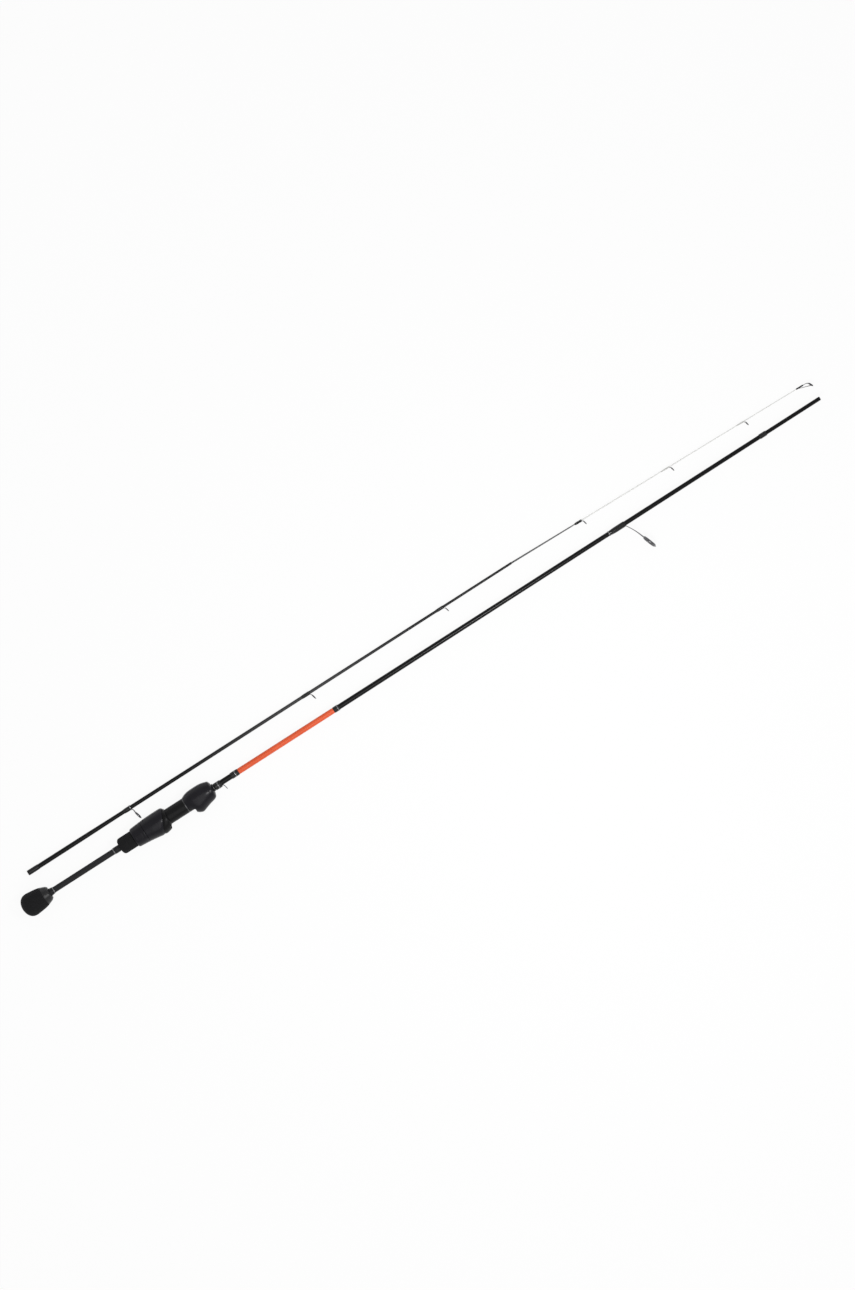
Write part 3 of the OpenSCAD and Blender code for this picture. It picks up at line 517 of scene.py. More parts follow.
def hard_plastic_material(name, dark, light, coat=0.0):
    """Hard plastic with faint turning marks, between two near-black greys, polished where it has a coat."""
    m = Nodes(name, (light, light, light), 0.30)
    m.mottle(m.noise(400), (dark, dark, 1.1 * dark), (light, light, 1.08 * light))
    m.roughness(m.noise(600, along=6), 0.24, 0.38)
    m.bump(m.rings(0.00022), 0.000006, 0.6)
    m.set(Specular_IOR_Level=0.17, Coat_Weight=coat, Coat_Roughness=0.1)
    return m.material


def barrel_material():
    """Smooth moulded barrel, black with long faint flow lines."""
    m = Nodes("seat_plastic_black", (0.008, 0.008, 0.008), 0.32)
    m.mottle(m.noise(120, along=0.25), (0.006, 0.006, 0.0065), (0.009, 0.009, 0.0095))
    m.roughness(m.noise(240, along=0.2), 0.27, 0.40)
    m.bump(m.noise(1500, along=0.3), 0.00002, 0.35)
    m.set(Specular_IOR_Level=0.13)
    return m.material


def carbon_material(name, matte_end=None, painted_highlight_at=None):
    """Clear-coated carbon blank with tape lines round it.

    It is matte and greyer behind matte_end. Without matte_end, a band of lighter grey is painted round a
    given X: a painted highlight."""
    m = Nodes(name, (0.010, 0.010, 0.011), 0.25)
    along = m.axis("X")
    fibre = m.noise(900, along=0.08)
    base = m.ramp(fibre, [(0.3, (0.002, 0.002, 0.0023)), (0.7, (0.0045, 0.0045, 0.005))])
    matte = 0.0
    if matte_end is not None:
        matte = m.span(along, matte_end - 20 * MM, matte_end, 1.0, 0.0)
        share = matte
        greys = [(0.3, (0.015, 0.015, 0.0165)), (0.7, (0.022, 0.022, 0.024))]
    else:
        # Painted highlight: the base colour turns lighter grey within 0.16 m of the given X, standing in for
        # a lamp's reflection on the tube.
        reach = m.math("ABSOLUTE", m.math("SUBTRACT", along, painted_highlight_at))
        share = m.span(reach, 0.0, 0.16, 1.0, 0.0)
        greys = [(0.3, (0.045, 0.045, 0.046)), (0.7, (0.065, 0.065, 0.066))]
    rough = m.span(m.math("ADD", matte, m.math("MULTIPLY", fibre, 0.12)), 0.0, 1.12, 0.20, 0.62)
    m.set(Base_Color=m.mix(share, base, m.ramp(m.noise(500), greys)), Roughness=rough)
    m.bump(m.rings(0.0034, 0.7), 0.000012, 0.5)
    m.bump(m.noise(1800, along=0.2), 0.00001, 0.4)
    m.set(Specular_IOR_Level=0.18)
    return m.material


def wrap_material(name, color, dark, light, rough, specular, coat):
    """Thread wound close under clear epoxy, between two shades."""
    m = Nodes(name, color, 0.34)
    m.mottle(m.noise(1100, along=3), dark, light)
    m.roughness(m.noise(500), *rough)
    m.bump(m.rings(0.00019), 0.00003, 0.6)
    m.set(Specular_IOR_Level=specular, Coat_Weight=coat, Coat_Roughness=0.06)
    return m.material


def trim_material(name, dark, light):
    """Satin metal between two greys, with fine brushing round the axis."""
    m = Nodes(name, (light, light, light), 0.22, 1.0)
    brushing = m.noise(900, along=8)
    m.mottle(brushing, (dark, dark, 1.03 * dark), (light, light, 1.02 * light))
    m.roughness(m.noise(1200, along=8), 0.16, 0.30)
    m.bump(m.rings(0.00012), 0.000008, 0.5)
    return m.material


def orange_material():
    """Orange satin sleeve with faint mottling and lengthwise draw lines."""
    m = Nodes("sleeve_orange", (0.80, 0.105, 0.028), 0.42)
    m.mottle(m.noise(130, along=0.5), (0.76, 0.095, 0.023), (0.84, 0.118, 0.035))
    m.roughness(m.noise(420), 0.36, 0.5)
    m.bump(m.noise(900, along=0.25), 0.00003, 0.45)
    m.set(Specular_IOR_Level=0.35, Coat_Weight=0.1, Coat_Roughness=0.3)
    return m.material


def frame_material(name, dark, light):
    """Plated wire between two greys, slightly uneven like polished plating."""
    m = Nodes(name, (light, light, light), 0.26, 1.0)
    m.mottle(m.noise(700), (dark, dark, 1.08 * dark), (light, light, 1.07 * light))
    m.roughness(m.noise(1500), 0.2, 0.34)
    m.bump(m.noise(3000), 0.00001, 0.4)
    return m.material


def ceramic_material():
    """Polished dark ceramic with a faint cloud."""
    m = Nodes("ceramic_dark", (0.05, 0.05, 0.055), 0.14)
    m.mottle(m.noise(800), (0.035, 0.035, 0.040), (0.065, 0.065, 0.072))
    m.roughness(m.noise(1800), 0.08, 0.2)
    m.bump(m.noise(2600), 0.000006, 0.4)
    m.set(Coat_Weight=0.6, Coat_Roughness=0.04)
    return m.material


def solid_tip_material():
    """Solid glass tip: dark at the splice, grey to the fourth guide, then white paint."""
    m = Nodes("tip_white", (0.84, 0.84, 0.82), 0.35)
    change = x_span("guide_4_wrap")[0]
    along = m.span(m.axis("X"), TUBE_END, change + 14 * MM, 0.0, 1.0)
    steps = [(0.0, (0.03, 0.03, 0.03)), (0.12, (0.07, 0.07, 0.07)), (0.82, (0.11, 0.11, 0.108)),
             (0.9, (0.45, 0.45, 0.44)), (0.98, (0.84, 0.84, 0.82))]
    grain = m.ramp(m.noise(900, along=0.15), [(0.3, (0.9, 0.9, 0.9)), (0.7, (1, 1, 1))])
    m.set(Base_Color=m.mix(1.0, m.ramp(along, steps), grain, "MULTIPLY"))
    m.roughness(m.noise(700), 0.28, 0.42)
    m.bump(m.noise(1500, along=0.2), 0.00001, 0.4)
    m.set(Coat_Weight=0.3, Coat_Roughness=0.1)
    return m.material


FOAM = foam_material("foam_black")
KNOB_SLOPE_X = x_span("butt_knob")[1] - 2.9 * MM
KNOB_FOAM = foam_material("foam_black_knob", KNOB_SLOPE_X - 4.8 * MM)
SOFT_GRIP = soft_grip_material()
HARD_PLASTIC = hard_plastic_material("hard_plastic_black", 0.003, 0.0055)
COLLAR_PLASTIC = hard_plastic_material("hard_plastic_grey", 0.011, 0.017)
CHECK_PLASTIC = hard_plastic_material("hard_plastic_polished", 0.003, 0.0055, coat=1.0)
BARREL = barrel_material()
CARBON_BUTT = carbon_material("carbon_butt", matte_end=x_span("front_check")[0])
# The tip tube's lighter grey band round X 0.19 m is a painted highlight.
CARBON_TIP = carbon_material("carbon_tip", painted_highlight_at=0.19)
WRAP = wrap_material("thread_wrap_black", (0.006, 0.006, 0.006), (0.004, 0.004, 0.004), (0.010, 0.010, 0.010),
                     rough=(0.28, 0.42), specular=0.2, coat=0.3)
PALE_WRAP = wrap_material("thread_wrap_pale", (0.62, 0.62, 0.60), (0.55, 0.55, 0.53), (0.72, 0.72, 0.70),
                          rough=(0.25, 0.4), specular=0.5, coat=0.8)
TRIM = trim_material("bright_trim_silver", 0.18, 0.26)
RING_TRIM = trim_material("bright_trim_smoked", 0.075, 0.11)
ORANGE = orange_material()
GUNMETAL = frame_material("guide_gunmetal", 0.12, 0.22)
DARK_METAL = frame_material("guide_black_metal", 0.025, 0.05)
CERAMIC = ceramic_material()
SOLID_TIP = solid_tip_material()


# Pieces of the butt section and the reel seat

def lump(x, r, a, scale, depth):
    """Small unevenness of a foam surface at a point, with lumps at a scale per metre."""
    return depth * noise.noise(Vector((x * scale, math.cos(a) * r * scale, math.sin(a) * r * scale)))


def knob_piece():
    """Foam knob: round back, drawn-in neck, and a sloped front with rounded edges round the collar."""
    x0, x1 = x_span("butt_knob")
    r = half_height("butt_knob")
    back = 12 * MM
    slope_x = KNOB_SLOPE_X
    slope_r = 8.95 * MM
    front_r = 6.9 * MM
    recess_r = half_height("knob_collar") + 0.1 * MM
    waist = [(x0 + back, r), (x0 + 0.7 * (x1 - x0), 0.875 * r), (slope_x, slope_r)]
    bore_x = x1 - 20 * MM
    bore_r = butt_radius(x1) + 0.05 * MM
    loop = [(x0, AXIS_R)]
    for i in range(1, 25):
        t = (i / 24) ** 1.6
        loop.append((x0 + back * t, r * math.sqrt(1 - (1 - t) ** 2.6)))
    for i in range(1, 25):
        x = x0 + back + (slope_x - x0 - back - 0.5 * MM) * i / 24
        loop.append((x, smooth_line(waist, x)))
    for i in range(1, 9):
        f = i / 8
        bulge = 0.25 * MM * math.sin(math.pi * f)
        x = slope_x + (x1 - 0.3 * MM - slope_x) * f
        loop.append((x + 0.6 * bulge, slope_r - 0.15 * MM + (front_r + 0.3 * MM - slope_r) * f + bulge))
    loop += arc(x1 - 0.4 * MM, front_r - 0.1 * MM, 0.4 * MM, 60, 0, 4)
    loop += [(x1 - 0.2 * MM, recess_r), (x1 - 1.2 * MM, recess_r)]
    loop += [(x1 - 1.2 * MM, bore_r), (bore_x, bore_r), (bore_x, AXIS_R)]

    def uneven(x, rr, a):
        return rr + lump(x, rr, a, 320, 0.035 * MM) * min(1, rr / r)

    piece = turned_ring("butt_knob_foam", loop, radius_of=uneven)
    place(piece, "butt_knob", KNOB_FOAM)


def rear_grip_piece():
    """Foam rear grip with a round rear end."""
    x0, x1 = x_span("rear_grip")
    r = half_height("rear_grip")
    inner = butt_radius(x0) + 0.05 * MM
    tail_r = BARREL_R - 1.3 * MM
    loop = [(x0, inner)]
    loop += arc(x0 + 4 * MM, r - 4 * MM, 4 * MM, 180, 90, 12)
    loop += [(x0 + (x1 - x0) * f, r) for f in (0.4, 0.55, 0.7, 0.85)]
    loop += arc(x1 - 0.5 * MM, r - 0.5 * MM, 0.5 * MM, 90, 0, 4)
    loop += [(x1, tail_r), (x0 + 5 * MM, tail_r), (x0 + 5 * MM, inner)]

    def uneven(x, rr, a):
        return rr + (lump(x, rr, a, 420, 0.03 * MM) if rr > 0.8 * r else 0)

    piece = turned_ring("rear_grip_foam", loop, radius_of=uneven)
    place(piece, "rear_grip", FOAM)


def collar_piece(node, material, edge, draw_in=0.0):
    """Turned collar or ring on the butt blank, with rounded edges, drawn in towards the front where asked."""
    x0, x1 = x_span(node)
    r = half_height(node)
    inner = butt_radius(x0) + GLUE_FIT
    e = min(edge, 0.45 * (x1 - x0), 0.8 * (r - inner))
    loop = [(x0, inner)]
    loop += arc(x0 + e, r - e, e, 180, 90, 5)
    loop += arc(x1 - e, r - draw_in - e, e, 90, 0, 5)
    loop.append((x1, inner))
    place(turned_ring(node + "_turned", loop, steps=64), node, material)


def band_piece(node, body="butt_section", radius_of=None):
    """Bright thread band: close turns of metallic thread round a wrap."""
    x0, x1 = x_span(node)
    r = half_height(node)
    turns = 4
    width = (x1 - x0) / turns
    depth = 0.06 * MM
    inner = r - 2 * depth
    loop = [(x0, inner)]
    for i in range(turns):
        for k in range(5):
            f = (k + 0.5) / 5
            loop.append((x0 + width * (i + f), r - depth + depth * math.sin(math.pi * f)))
    loop.append((x1, inner))
    piece = turned_ring(node + "_thread", loop, rod_of(body)[0], radius_of, steps=64)
    place(piece, node, TRIM, body)


def barrel_piece():
    """Seat barrel with its helical thread, its keyway and the groove of the bright ring."""
    x0, x1 = x_span("seat_barrel")
    grip_x = x_span("rear_grip")[1]
    ring_x, ring_end = x_span("barrel_trim_ring")
    key_x = x_span("sliding_hood")[0] - 1 * MM
    key_end = ring_x - 1.1 * MM
    crest = BARREL_R - 0.18 * MM
    root = crest - 0.6 * MM
    tail = BARREL_R - 1.4 * MM
    inner = 6 * MM
    thread_end = x_span("lock_nut")[1] + 18 * MM
    key_half = 1.2 * MM
    key_depth = 1 * MM
    ring_floor = BARREL_R - 0.45 * MM
    fade_run = 1.5 * MM
    loop = [(x0, inner), (x0, tail), (grip_x, tail)]
    x = grip_x + 0.1 * MM
    while x < thread_end:
        loop.append((x, root))
        x += 0.2 * MM
    loop += [(thread_end + 0.5 * MM, BARREL_R), (key_end - 0.01 * MM, BARREL_R)]
    loop += [(key_end + 0.01 * MM, BARREL_R), (ring_x - 0.03 * MM, BARREL_R)]
    loop += [(ring_x - 0.02 * MM, ring_floor), (ring_end, ring_floor)]
    loop += [(ring_end + 0.01 * MM, BARREL_R), (x1, BARREL_R), (x1, inner)]

    def relief(x, r, a):
        out = r
        if grip_x < x < thread_end and r >= root - 1e-9:
            phase = ((x - grip_x) / THREAD_PITCH - a / (2 * math.pi)) % 1
            rise = min(1, max(0, 1.6 - 4 * abs(phase - 0.5)))
            fade = min(1, (x - grip_x) / fade_run, (thread_end - x) / fade_run)
            out = root + (crest - root) * rise * max(fade, 0)
        across = abs(math.sin(a)) * r
        if math.cos(a) > 0 and across < key_half and key_x < x < key_end and r > inner:
            out = min(out, BARREL_R - key_depth)
        return out

    piece = turned_ring("seat_barrel_threaded", loop, radius_of=relief, steps=192, sharp_deg=32)
    place(piece, "seat_barrel", BARREL)


def egg_shell(name, x0, x1, back, reel, lip):
    """Closed smooth hood body with egg-shaped rings and rounded end edges."""
    edge = [lip * (1 - math.cos(math.pi / 2 * i / 6)) for i in range(6)]
    evenly = [x0 + (x1 - x0) * i / SHELL_ROWS for i in range(SHELL_ROWS + 1)]
    xs = [x0 + e for e in edge]
    xs += [x for x in evenly if x0 + lip <= x <= x1 - lip]
    xs += [x1 - e for e in reversed(edge)]
    points = []
    for x in xs:
        into = min(x - x0, x1 - x, lip) / lip
        drop = lip * (1 - math.sqrt(max(0, 1 - (1 - into) ** 2)))
        up = smooth_line(back, x) - drop
        down = smooth_line(reel, x) - drop
        for k in range(SHELL_COLS):
            a = 2 * math.pi * k / SHELL_COLS
            c = math.cos(a)
            points.append((x, c * (up if c > 0 else down), up * math.sin(a)))
    return add_mesh(name, points, capped_faces(len(xs), SHELL_COLS))


POCKET_H = 4.4 * MM


def pocket_cutter(x0, x1):
    """Space for one end of a reel foot: a round roof with straight sides."""
    roof_y = 2.2 * MM
    roof_r = BARREL_R + POCKET_H - roof_y
    half = 8 * MM
    start = math.asin(half / roof_r)
    section = [(-roof_y - roof_r * math.cos(a), roof_r * math.sin(a))
               for a in (start * (i / 12 - 1) for i in range(25))]
    section += [(-2 * MM, half), (-2 * MM, -half)]
    points = [(x, y, z) for x in (x0, x1) for y, z in section]
    return add_mesh("cutter", points, capped_faces(2, len(section)))


def soften(obj, width, segments=2):
    """Rounds the cut edges of a moulded piece a little."""
    mod = obj.modifiers.new("soft_edges", "BEVEL")
    mod.width = width
    mod.segments = segments
    mod.limit_method = "ANGLE"
    mod.angle_limit = math.radians(50)
    apply_modifiers(obj)
    smooth_shade(obj)


def hood_line(rear, base, height, rows):
    """Outline of a hood: its rear point, then rows of (x, share of the height) above a base radius."""
    return [rear] + [(x, base + share * height) for x, share in rows]


def front_hood_piece():
    """Fixed front hood: bulb with a fuller reel side, rolled front rim and the foot pocket."""
    x0, x1 = x_span("front_hood")
    low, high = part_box("front_hood")
    thick = high[1] - BARREL_R
    rise = -low[1] - BARREL_R
    rim = 5.7 * MM
    face = 1.5 * MM
    back = hood_line((x0, BARREL_R + 0.4 * MM), BARREL_R, thick, [
        (x0 + 4.2 * MM, 0.63), (x0 + 9 * MM, 0.94), (x0 + 0.6 * (x1 - x0), 1),
        (x1 - 8.6 * MM, 0.84), (x1 - 4 * MM, 0.44), (x1 - face, 0.1)])
    reel = hood_line((x0, BARREL_R + 0.45 * MM), BARREL_R, rise, [
        (x0 + 3.4 * MM, 0.26), (x0 + 8 * MM, 0.77), (x0 + 12.4 * MM, 1), (x0 + 17 * MM, 0.84),
        (x1 - 10.8 * MM, 0.57), (x1 - 4 * MM, 0.33), (x1 - face, 0.08)])
    back.append((x1, rim))
    reel.append((x1, rim))
    shell = egg_shell("front_hood_shell", x0, x1, back, reel, lip=0.4 * MM)
    barrel_end = x_span("seat_barrel")[1]
    carve(shell, [
        cylinder_cutter(x0 - 1 * MM, barrel_end + 0.1 * MM, BARREL_R + GLUE_FIT),
        cylinder_cutter(barrel_end - 1 * MM, x1 + 1 * MM, butt_radius(x1) + 0.06 * MM),
        cylinder_cutter(x1 - 1 * MM, x1 + 1 * MM, rim - 1.6 * MM),
        pocket_cutter(x0 - 1 * MM, x0 + 17 * MM),
    ])
    soften(shell, 0.25 * MM)
    place(shell, "front_hood", SOFT_GRIP)


HOOD_X0 = x_span("sliding_hood")[0]
HOOD_X1 = x_span("hood_cap")[1]
CAP_X = HOOD_X1 - 6.4 * MM
CAP_LEAN = math.radians(24.6)
CAP_STEP = 0.4 * MM
HOOD_BACK = 4.1 * MM
HOOD_RISE = 6.4 * MM
POCKET_LEN = 16 * MM


def hood_lines(step):
    """Outlines of the sliding hood away from the reel and towards it, lowered by a step."""
    r = BARREL_R - step
    rear = (HOOD_X0, half_height("lock_nut") - step)
    waist = HOOD_X0 + 0.35 * (HOOD_X1 - HOOD_X0)
    back = hood_line(rear, r, HOOD_BACK, [
        (waist, 1), (HOOD_X1 - 5 * MM, 1), (HOOD_X1 - 1.6 * MM, 0.88), (HOOD_X1, 0.55)])
    reel = hood_line(rear, r, HOOD_RISE, [
        (waist, 0.775), (HOOD_X1 - 11 * MM, 1), (HOOD_X1 - 5.5 * MM, 0.87),
        (HOOD_X1 - 2.4 * MM, 0.7), (HOOD_X1, 0.48)])
    return back, reel


def lean_cutter(x, side):
    """Block that takes away all in front of (1) or behind (-1) the shell's leaning front edge."""
    size = 60 * MM
    turn = Matrix.Translation((x, 0, 0)) @ Matrix.Rotation(-CAP_LEAN, 4, "Z")
    corners = [turn @ Vector((side * size * i, size * (j - 0.5), size * (k - 0.5)))
               for i in (0, 1) for j in (0, 1) for k in (0, 1)]
    faces = [(0, 1, 3, 2), (4, 6, 7, 5), (0, 4, 5, 1), (2, 3, 7, 6), (0, 2, 6, 4), (1, 5, 7, 3)]
    return add_mesh("cutter", corners, faces)


def roll_in(obj, x, side, depth, run):
    """Draws a hood piece in towards the leaning plane at x, over a run behind (-1) or in front (1) of it."""
    for vertex in obj.data.vertices:
        p = vertex.co
        away = side * ((p.x - x) * math.cos(CAP_LEAN) - p.y * math.sin(CAP_LEAN))
        share = max(0.0, min(1.0, 1 - away / run))
        r = math.hypot(p.y, p.z)
        scale = (r - depth * share ** 2) / r
        vertex.co = (p.x, p.y * scale, p.z * scale)


def sliding_hood_piece():
    """Soft shell of the sliding hood, with a rolled and rounded leaning front edge."""
    back, reel = hood_lines(0)
    shell = egg_shell("sliding_hood_shell", HOOD_X0, HOOD_X1, back, reel, lip=0.25 * MM)
    carrier_end = x_span("hood_carrier")[1]
    roll_in(shell, CAP_X, -1, 0.8 * MM, 4 * MM)
    carve(shell, [lean_cutter(CAP_X, 1)])
    soften(shell, 0.9 * MM, segments=4)
    carve(shell, [
        cylinder_cutter(HOOD_X0 - 1 * MM, HOOD_X1 + 1 * MM, BARREL_R + SLIDE_FIT),
        cylinder_cutter(HOOD_X0 - 1 * MM, carrier_end + 0.1 * MM, half_height("hood_carrier") + GLUE_FIT),
        pocket_cutter(HOOD_X1 - POCKET_LEN, HOOD_X1 + 1 * MM),
    ])
    smooth_shade(shell)
    place(shell, "sliding_hood", SOFT_GRIP, "sliding_hood")


def hood_cap_piece():
    """Hard cap in front of the soft shell, with the pocket's mouth in it."""
    back, reel = hood_lines(CAP_STEP)
    cap = egg_shell("hood_cap_hard", HOOD_X0 + 12 * MM, HOOD_X1, back, reel, lip=0.6 * MM)
    roll_in(cap, CAP_X, 1, 0.9 * MM, 3.5 * MM)
    carve(cap, [
        lean_cutter(CAP_X - 0.5 * MM, -1),
        cylinder_cutter(HOOD_X0, HOOD_X1 + 1 * MM, BARREL_R + SLIDE_FIT),
        pocket_cutter(HOOD_X1 - POCKET_LEN, HOOD_X1 + 1 * MM),
    ])
    soften(cap, 0.2 * MM)
    place(cap, "hood_cap", HARD_PLASTIC, "sliding_hood")


def nut_piece():
    """Soft shell of the lock nut: rounded rear shoulder, shallow finger groove, crisp front edge."""
    x0, x1 = x_span("lock_nut")
    front_r = half_height("lock_nut")
    back_r = front_r - 0.95 * MM
    core = half_height("nut_core") + GLUE_FIT
    rear_r = core + 0.5 * MM
    shoulder = 3 * MM
    loop = [(x0, core), (x0, rear_r)]
    for i in range(1, 13):
        a = math.pi / 2 * i / 12
        loop.append((x0 + shoulder * (1 - math.cos(a)), rear_r + (back_r - rear_r) * math.sin(a)))
    for i in range(1, 15):
        f = i / 15
        x = x0 + shoulder + (x1 - x0 - shoulder - 0.5 * MM) * f
        loop.append((x, back_r + (front_r - back_r) * f - 0.1 * MM * math.exp(-((f - 0.75) / 0.06) ** 2)))
    loop += arc(x1 - 0.35 * MM, front_r - 0.35 * MM, 0.35 * MM, 80, 0, 6)
    loop.append((x1, core))
    piece = turned_ring("lock_nut_shell", loop)
    place(piece, "lock_nut", SOFT_GRIP, "lock_nut")


def sleeve_piece():
    """Orange sleeve on the blank with softly rounded ends."""
    x0, x1 = x_span("orange_sleeve")
    thick = half_height("orange_sleeve") - butt_radius(x0)
    thin = 0.04 * MM
    run = 0.3 * MM
    count = 60
    loop = [(x0, butt_radius(x0) + GLUE_FIT)]
    for i in range(count + 1):
        x = x0 + (x1 - x0) * i / count
        edge = min(1, (x - x0) / run, (x1 - x) / run)
        loop.append((x, butt_radius(x) + thin + (thick - thin) * math.sqrt(max(edge, 0))))
    loop.append((x1, butt_radius(x1) + GLUE_FIT))
    piece = turned_ring("orange_sleeve_skin", loop, steps=64)
    place(piece, "orange_sleeve", ORANGE)


def over_feet(x, r, a):
    """Radius of a wrap over the hook keeper's feet: thick on the reel side and thin behind."""
    base = butt_radius(x)
    return base + (r - base) * (0.96 - 0.44 * math.cos(a))


def wrap_loop(node, radius, lift, base, ridge, dome):
    """Outline of a thread wrap on a rod: ridges under a coat that rises from base to lift by its dome."""
    x0, x1 = x_span(node)
    count = int((x1 - x0) / (0.12 * MM))
    loop = [(x0, radius(x0) + WRAP_FIT)]
    for i in range(count + 1):
        x = x0 + (x1 - x0) * i / count
        thread = ridge * math.cos(math.pi * i)
        loop.append((x, radius(x) + base + (lift - base + thread) * dome(x)))
    loop.append((x1, radius(x1) + WRAP_FIT))
    return loop


def plain_wrap_piece(node, body="butt_section", radius_of=None):
    """Thread wrap under epoxy, whose coat runs out thin at both ends."""
    x0, x1 = x_span(node)
    axis, radius = rod_of(body)
    taper = 1.4 * MM

    def dome(x):
        f = min(1, (x - x0) / taper, (x1 - x) / taper)
        return math.sqrt(max(0, 1 - (1 - f) ** 2))

    lift = half_height(node) - radius(x0)
    loop = wrap_loop(node, radius, lift, 0.06 * MM, 0.012 * MM, dome)
    piece = turned_ring(node + "_threads", loop, axis, radius_of, steps=48, sharp_deg=60)
    place(piece, node, WRAP, body)


def hook_keeper_piece():
    """Wire hook keeper: two feet on the blank and one smooth loop that leans forward."""
    low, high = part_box("hook_keeper")
    r = 0.4 * MM
    end_x = x_span("keeper_wrap")[1]
    half = (high[2] - low[2]) / 2 - r
    foot_y = -(butt_radius(end_x) + 0.43 * MM) * math.cos(math.radians(22))
    top = Vector((high[0] - r, low[1] + r, 0))
    path = []
    for s in (-1, 1):
        start = Vector((low[0] + r, foot_y, s * half))
        knee = Vector((end_x + 0.6 * MM, foot_y, s * half))
        leave = knee + Vector((1.6 * MM, -0.8 * MM, 0))
        reach = top + Vector((-0.3 * MM, 0.6 * MM, s * half))
        end = top + Vector((0, 0.05 * MM, s * 0.12 * half))
        run = [start.lerp(knee, i / 6) for i in range(6)] + bezier(knee, leave, reach, end, 14)
        path += run if s < 0 else list(reversed(run))
    piece = add_mesh("hook_keeper_wire", *sweep(path, r, Vector((0.6, 0.8, 0))))
    place(piece, "hook_keeper", GUNMETAL)


# Guides

class GuideFit:
    """Place and sizes of one ring guide, read from its CAD pieces.

    base is the point on the rod's axis straight under the ring's centre, and matrix the frame there:
    X along the rod, Y away from the guides."""

    def __init__(self, key, body):
        ring = mesh_points(key + "_ring")
        centre_of_ring = Vector(((ring.min(0) + ring.max(0)) / 2).tolist())
        self.wire = WIRE_D.get(key, MICRO_WIRE_D) * MM
        self.foot_t = FOOT_T.get(key, SMALL_FOOT_T) * MM
        self.foot_w = FOOT_W.get(key, MICRO_FOOT_W) * MM
        self.insert_r = float(np.abs(ring[:, 2] - centre_of_ring.z).max())
        self.ring_r = self.insert_r + GLUE_FIT + self.wire / 2
        turn = 0.0
        self.base = Vector((centre_of_ring.x, 0, 0))
        if body == "tip_section":
            turn = TIP_TURN if centre_of_ring.x > TUBE_END else 0.0
            along = Vector((math.cos(turn), math.sin(turn), 0))
            start = tip_axis_at(centre_of_ring.x)
            self.base = start + along * (centre_of_ring - start).dot(along)
        self.matrix = Matrix.Translation(self.base) @ Matrix.Rotation(turn, 4, "Z")
        self.height = (centre_of_ring - self.base).length
        local = self.matrix.inverted()
        self.flat = np.array([local @ Vector(p) for p in ring.tolist()])
        self.lean = self.measure_lean()
        self.side = Vector((math.cos(self.lean), math.sin(self.lean), 0))

    def measure_lean(self):
        """Lean of the ring from the X shift between its near and far sides."""
        y = self.flat[:, 1]
        far = self.flat[y < y.min() + 0.2 * MM]
        near = self.flat[y > y.max() - 0.2 * MM]
        return math.atan2(far[:, 0].mean() - near[:, 0].mean(), near[:, 1].mean() - far[:, 1].mean())

    def ring_point(self, a, out=0.0):
        """Point on the frame's ring at an angle from the side next to the rod."""
        r = self.ring_r + out
        along = r * math.cos(a)
        y = along * math.cos(self.lean) - self.height
        return Vector((-along * math.sin(self.lean), y, r * math.sin(a)))


def leg_paths(fit, root, rise, count):
    """Two mirrored legs from a root point to the ring, meeting it along its own curve."""
    drop = math.sin(LEG_TURN)
    legs = []
    for s in (-1, 1):
        a = Vector((root.x, root.y, s * root.z))
        d = fit.ring_point(s * LEG_TURN)
        pull = 0.42 * (d - a).length
        away = Vector((drop * math.sin(fit.lean), -drop * math.cos(fit.lean), s * math.cos(LEG_TURN)))
        up = Vector((rise[0], rise[1], s * rise[2])).normalized()
        legs.append(bezier(a, a + pull * up, d - pull * away, d, count))
    return legs


def ring_path(fit):
    return [fit.ring_point(2 * math.pi * i / RING_STEPS) for i in range(RING_STEPS)]


def foot_strip(x0, x1, y, width, thick):
    """Flat foot that narrows and thins towards its end, as points and faces."""
    points = []
    rows = 10
    for i in range(rows + 1):
        f = i / rows
        x = x0 + (x1 - x0) * f
        w = width / 2 * (0.45 + 0.55 * math.sqrt(f))
        t = thick / 2 * (0.4 + 0.6 * f)
        under = y + thick / 2
        over = under - 2 * t
        points += [(x, under, -w), (x, over, -0.7 * w), (x, over, 0.7 * w), (x, under, w)]
    return points, capped_faces(rows + 1, 4)


def guide_frame_piece(key, body, fit, rise, material):
    """Wire guide frame: tapered foot, two curved legs and the closed ring round the insert."""
    x0, x1 = x_span(key + "_wrap")
    wrap_start = x0 - fit.base.x
    wrap_end = x1 - fit.base.x
    rod_r = rod_of(body)[1](x0 + 1 * MM)
    y = -(rod_r + GLUE_FIT + fit.foot_t / 2)
    half = max(fit.foot_w / 2 - fit.wire / 2, 0.55 * fit.wire)
    root = Vector((wrap_end - 0.2 * MM, y - 0.1 * fit.wire, half))
    parts = [sweep(ring_path(fit), fit.wire / 2, fit.side, closed=True)]
    for leg in leg_paths(fit, root, rise, 26):
        parts.append(sweep(leg, lambda f: fit.wire / 2 * (0.8 - 0.1 * math.sin(math.pi * f)), fit.side))
    foot_start = wrap_start + 0.3 * (wrap_end - wrap_start)
    parts.append(foot_strip(foot_start, wrap_end + 0.1 * MM, y, fit.foot_w, fit.foot_t))
    piece = joined(key + "_frame_wire", parts, fit.matrix)
    place(piece, key + "_frame", material, body)


def fuller(v):
    """Moves a cosine or sine outwards, for a section fuller than a circle."""
    return math.copysign(abs(v) ** 0.8, v)


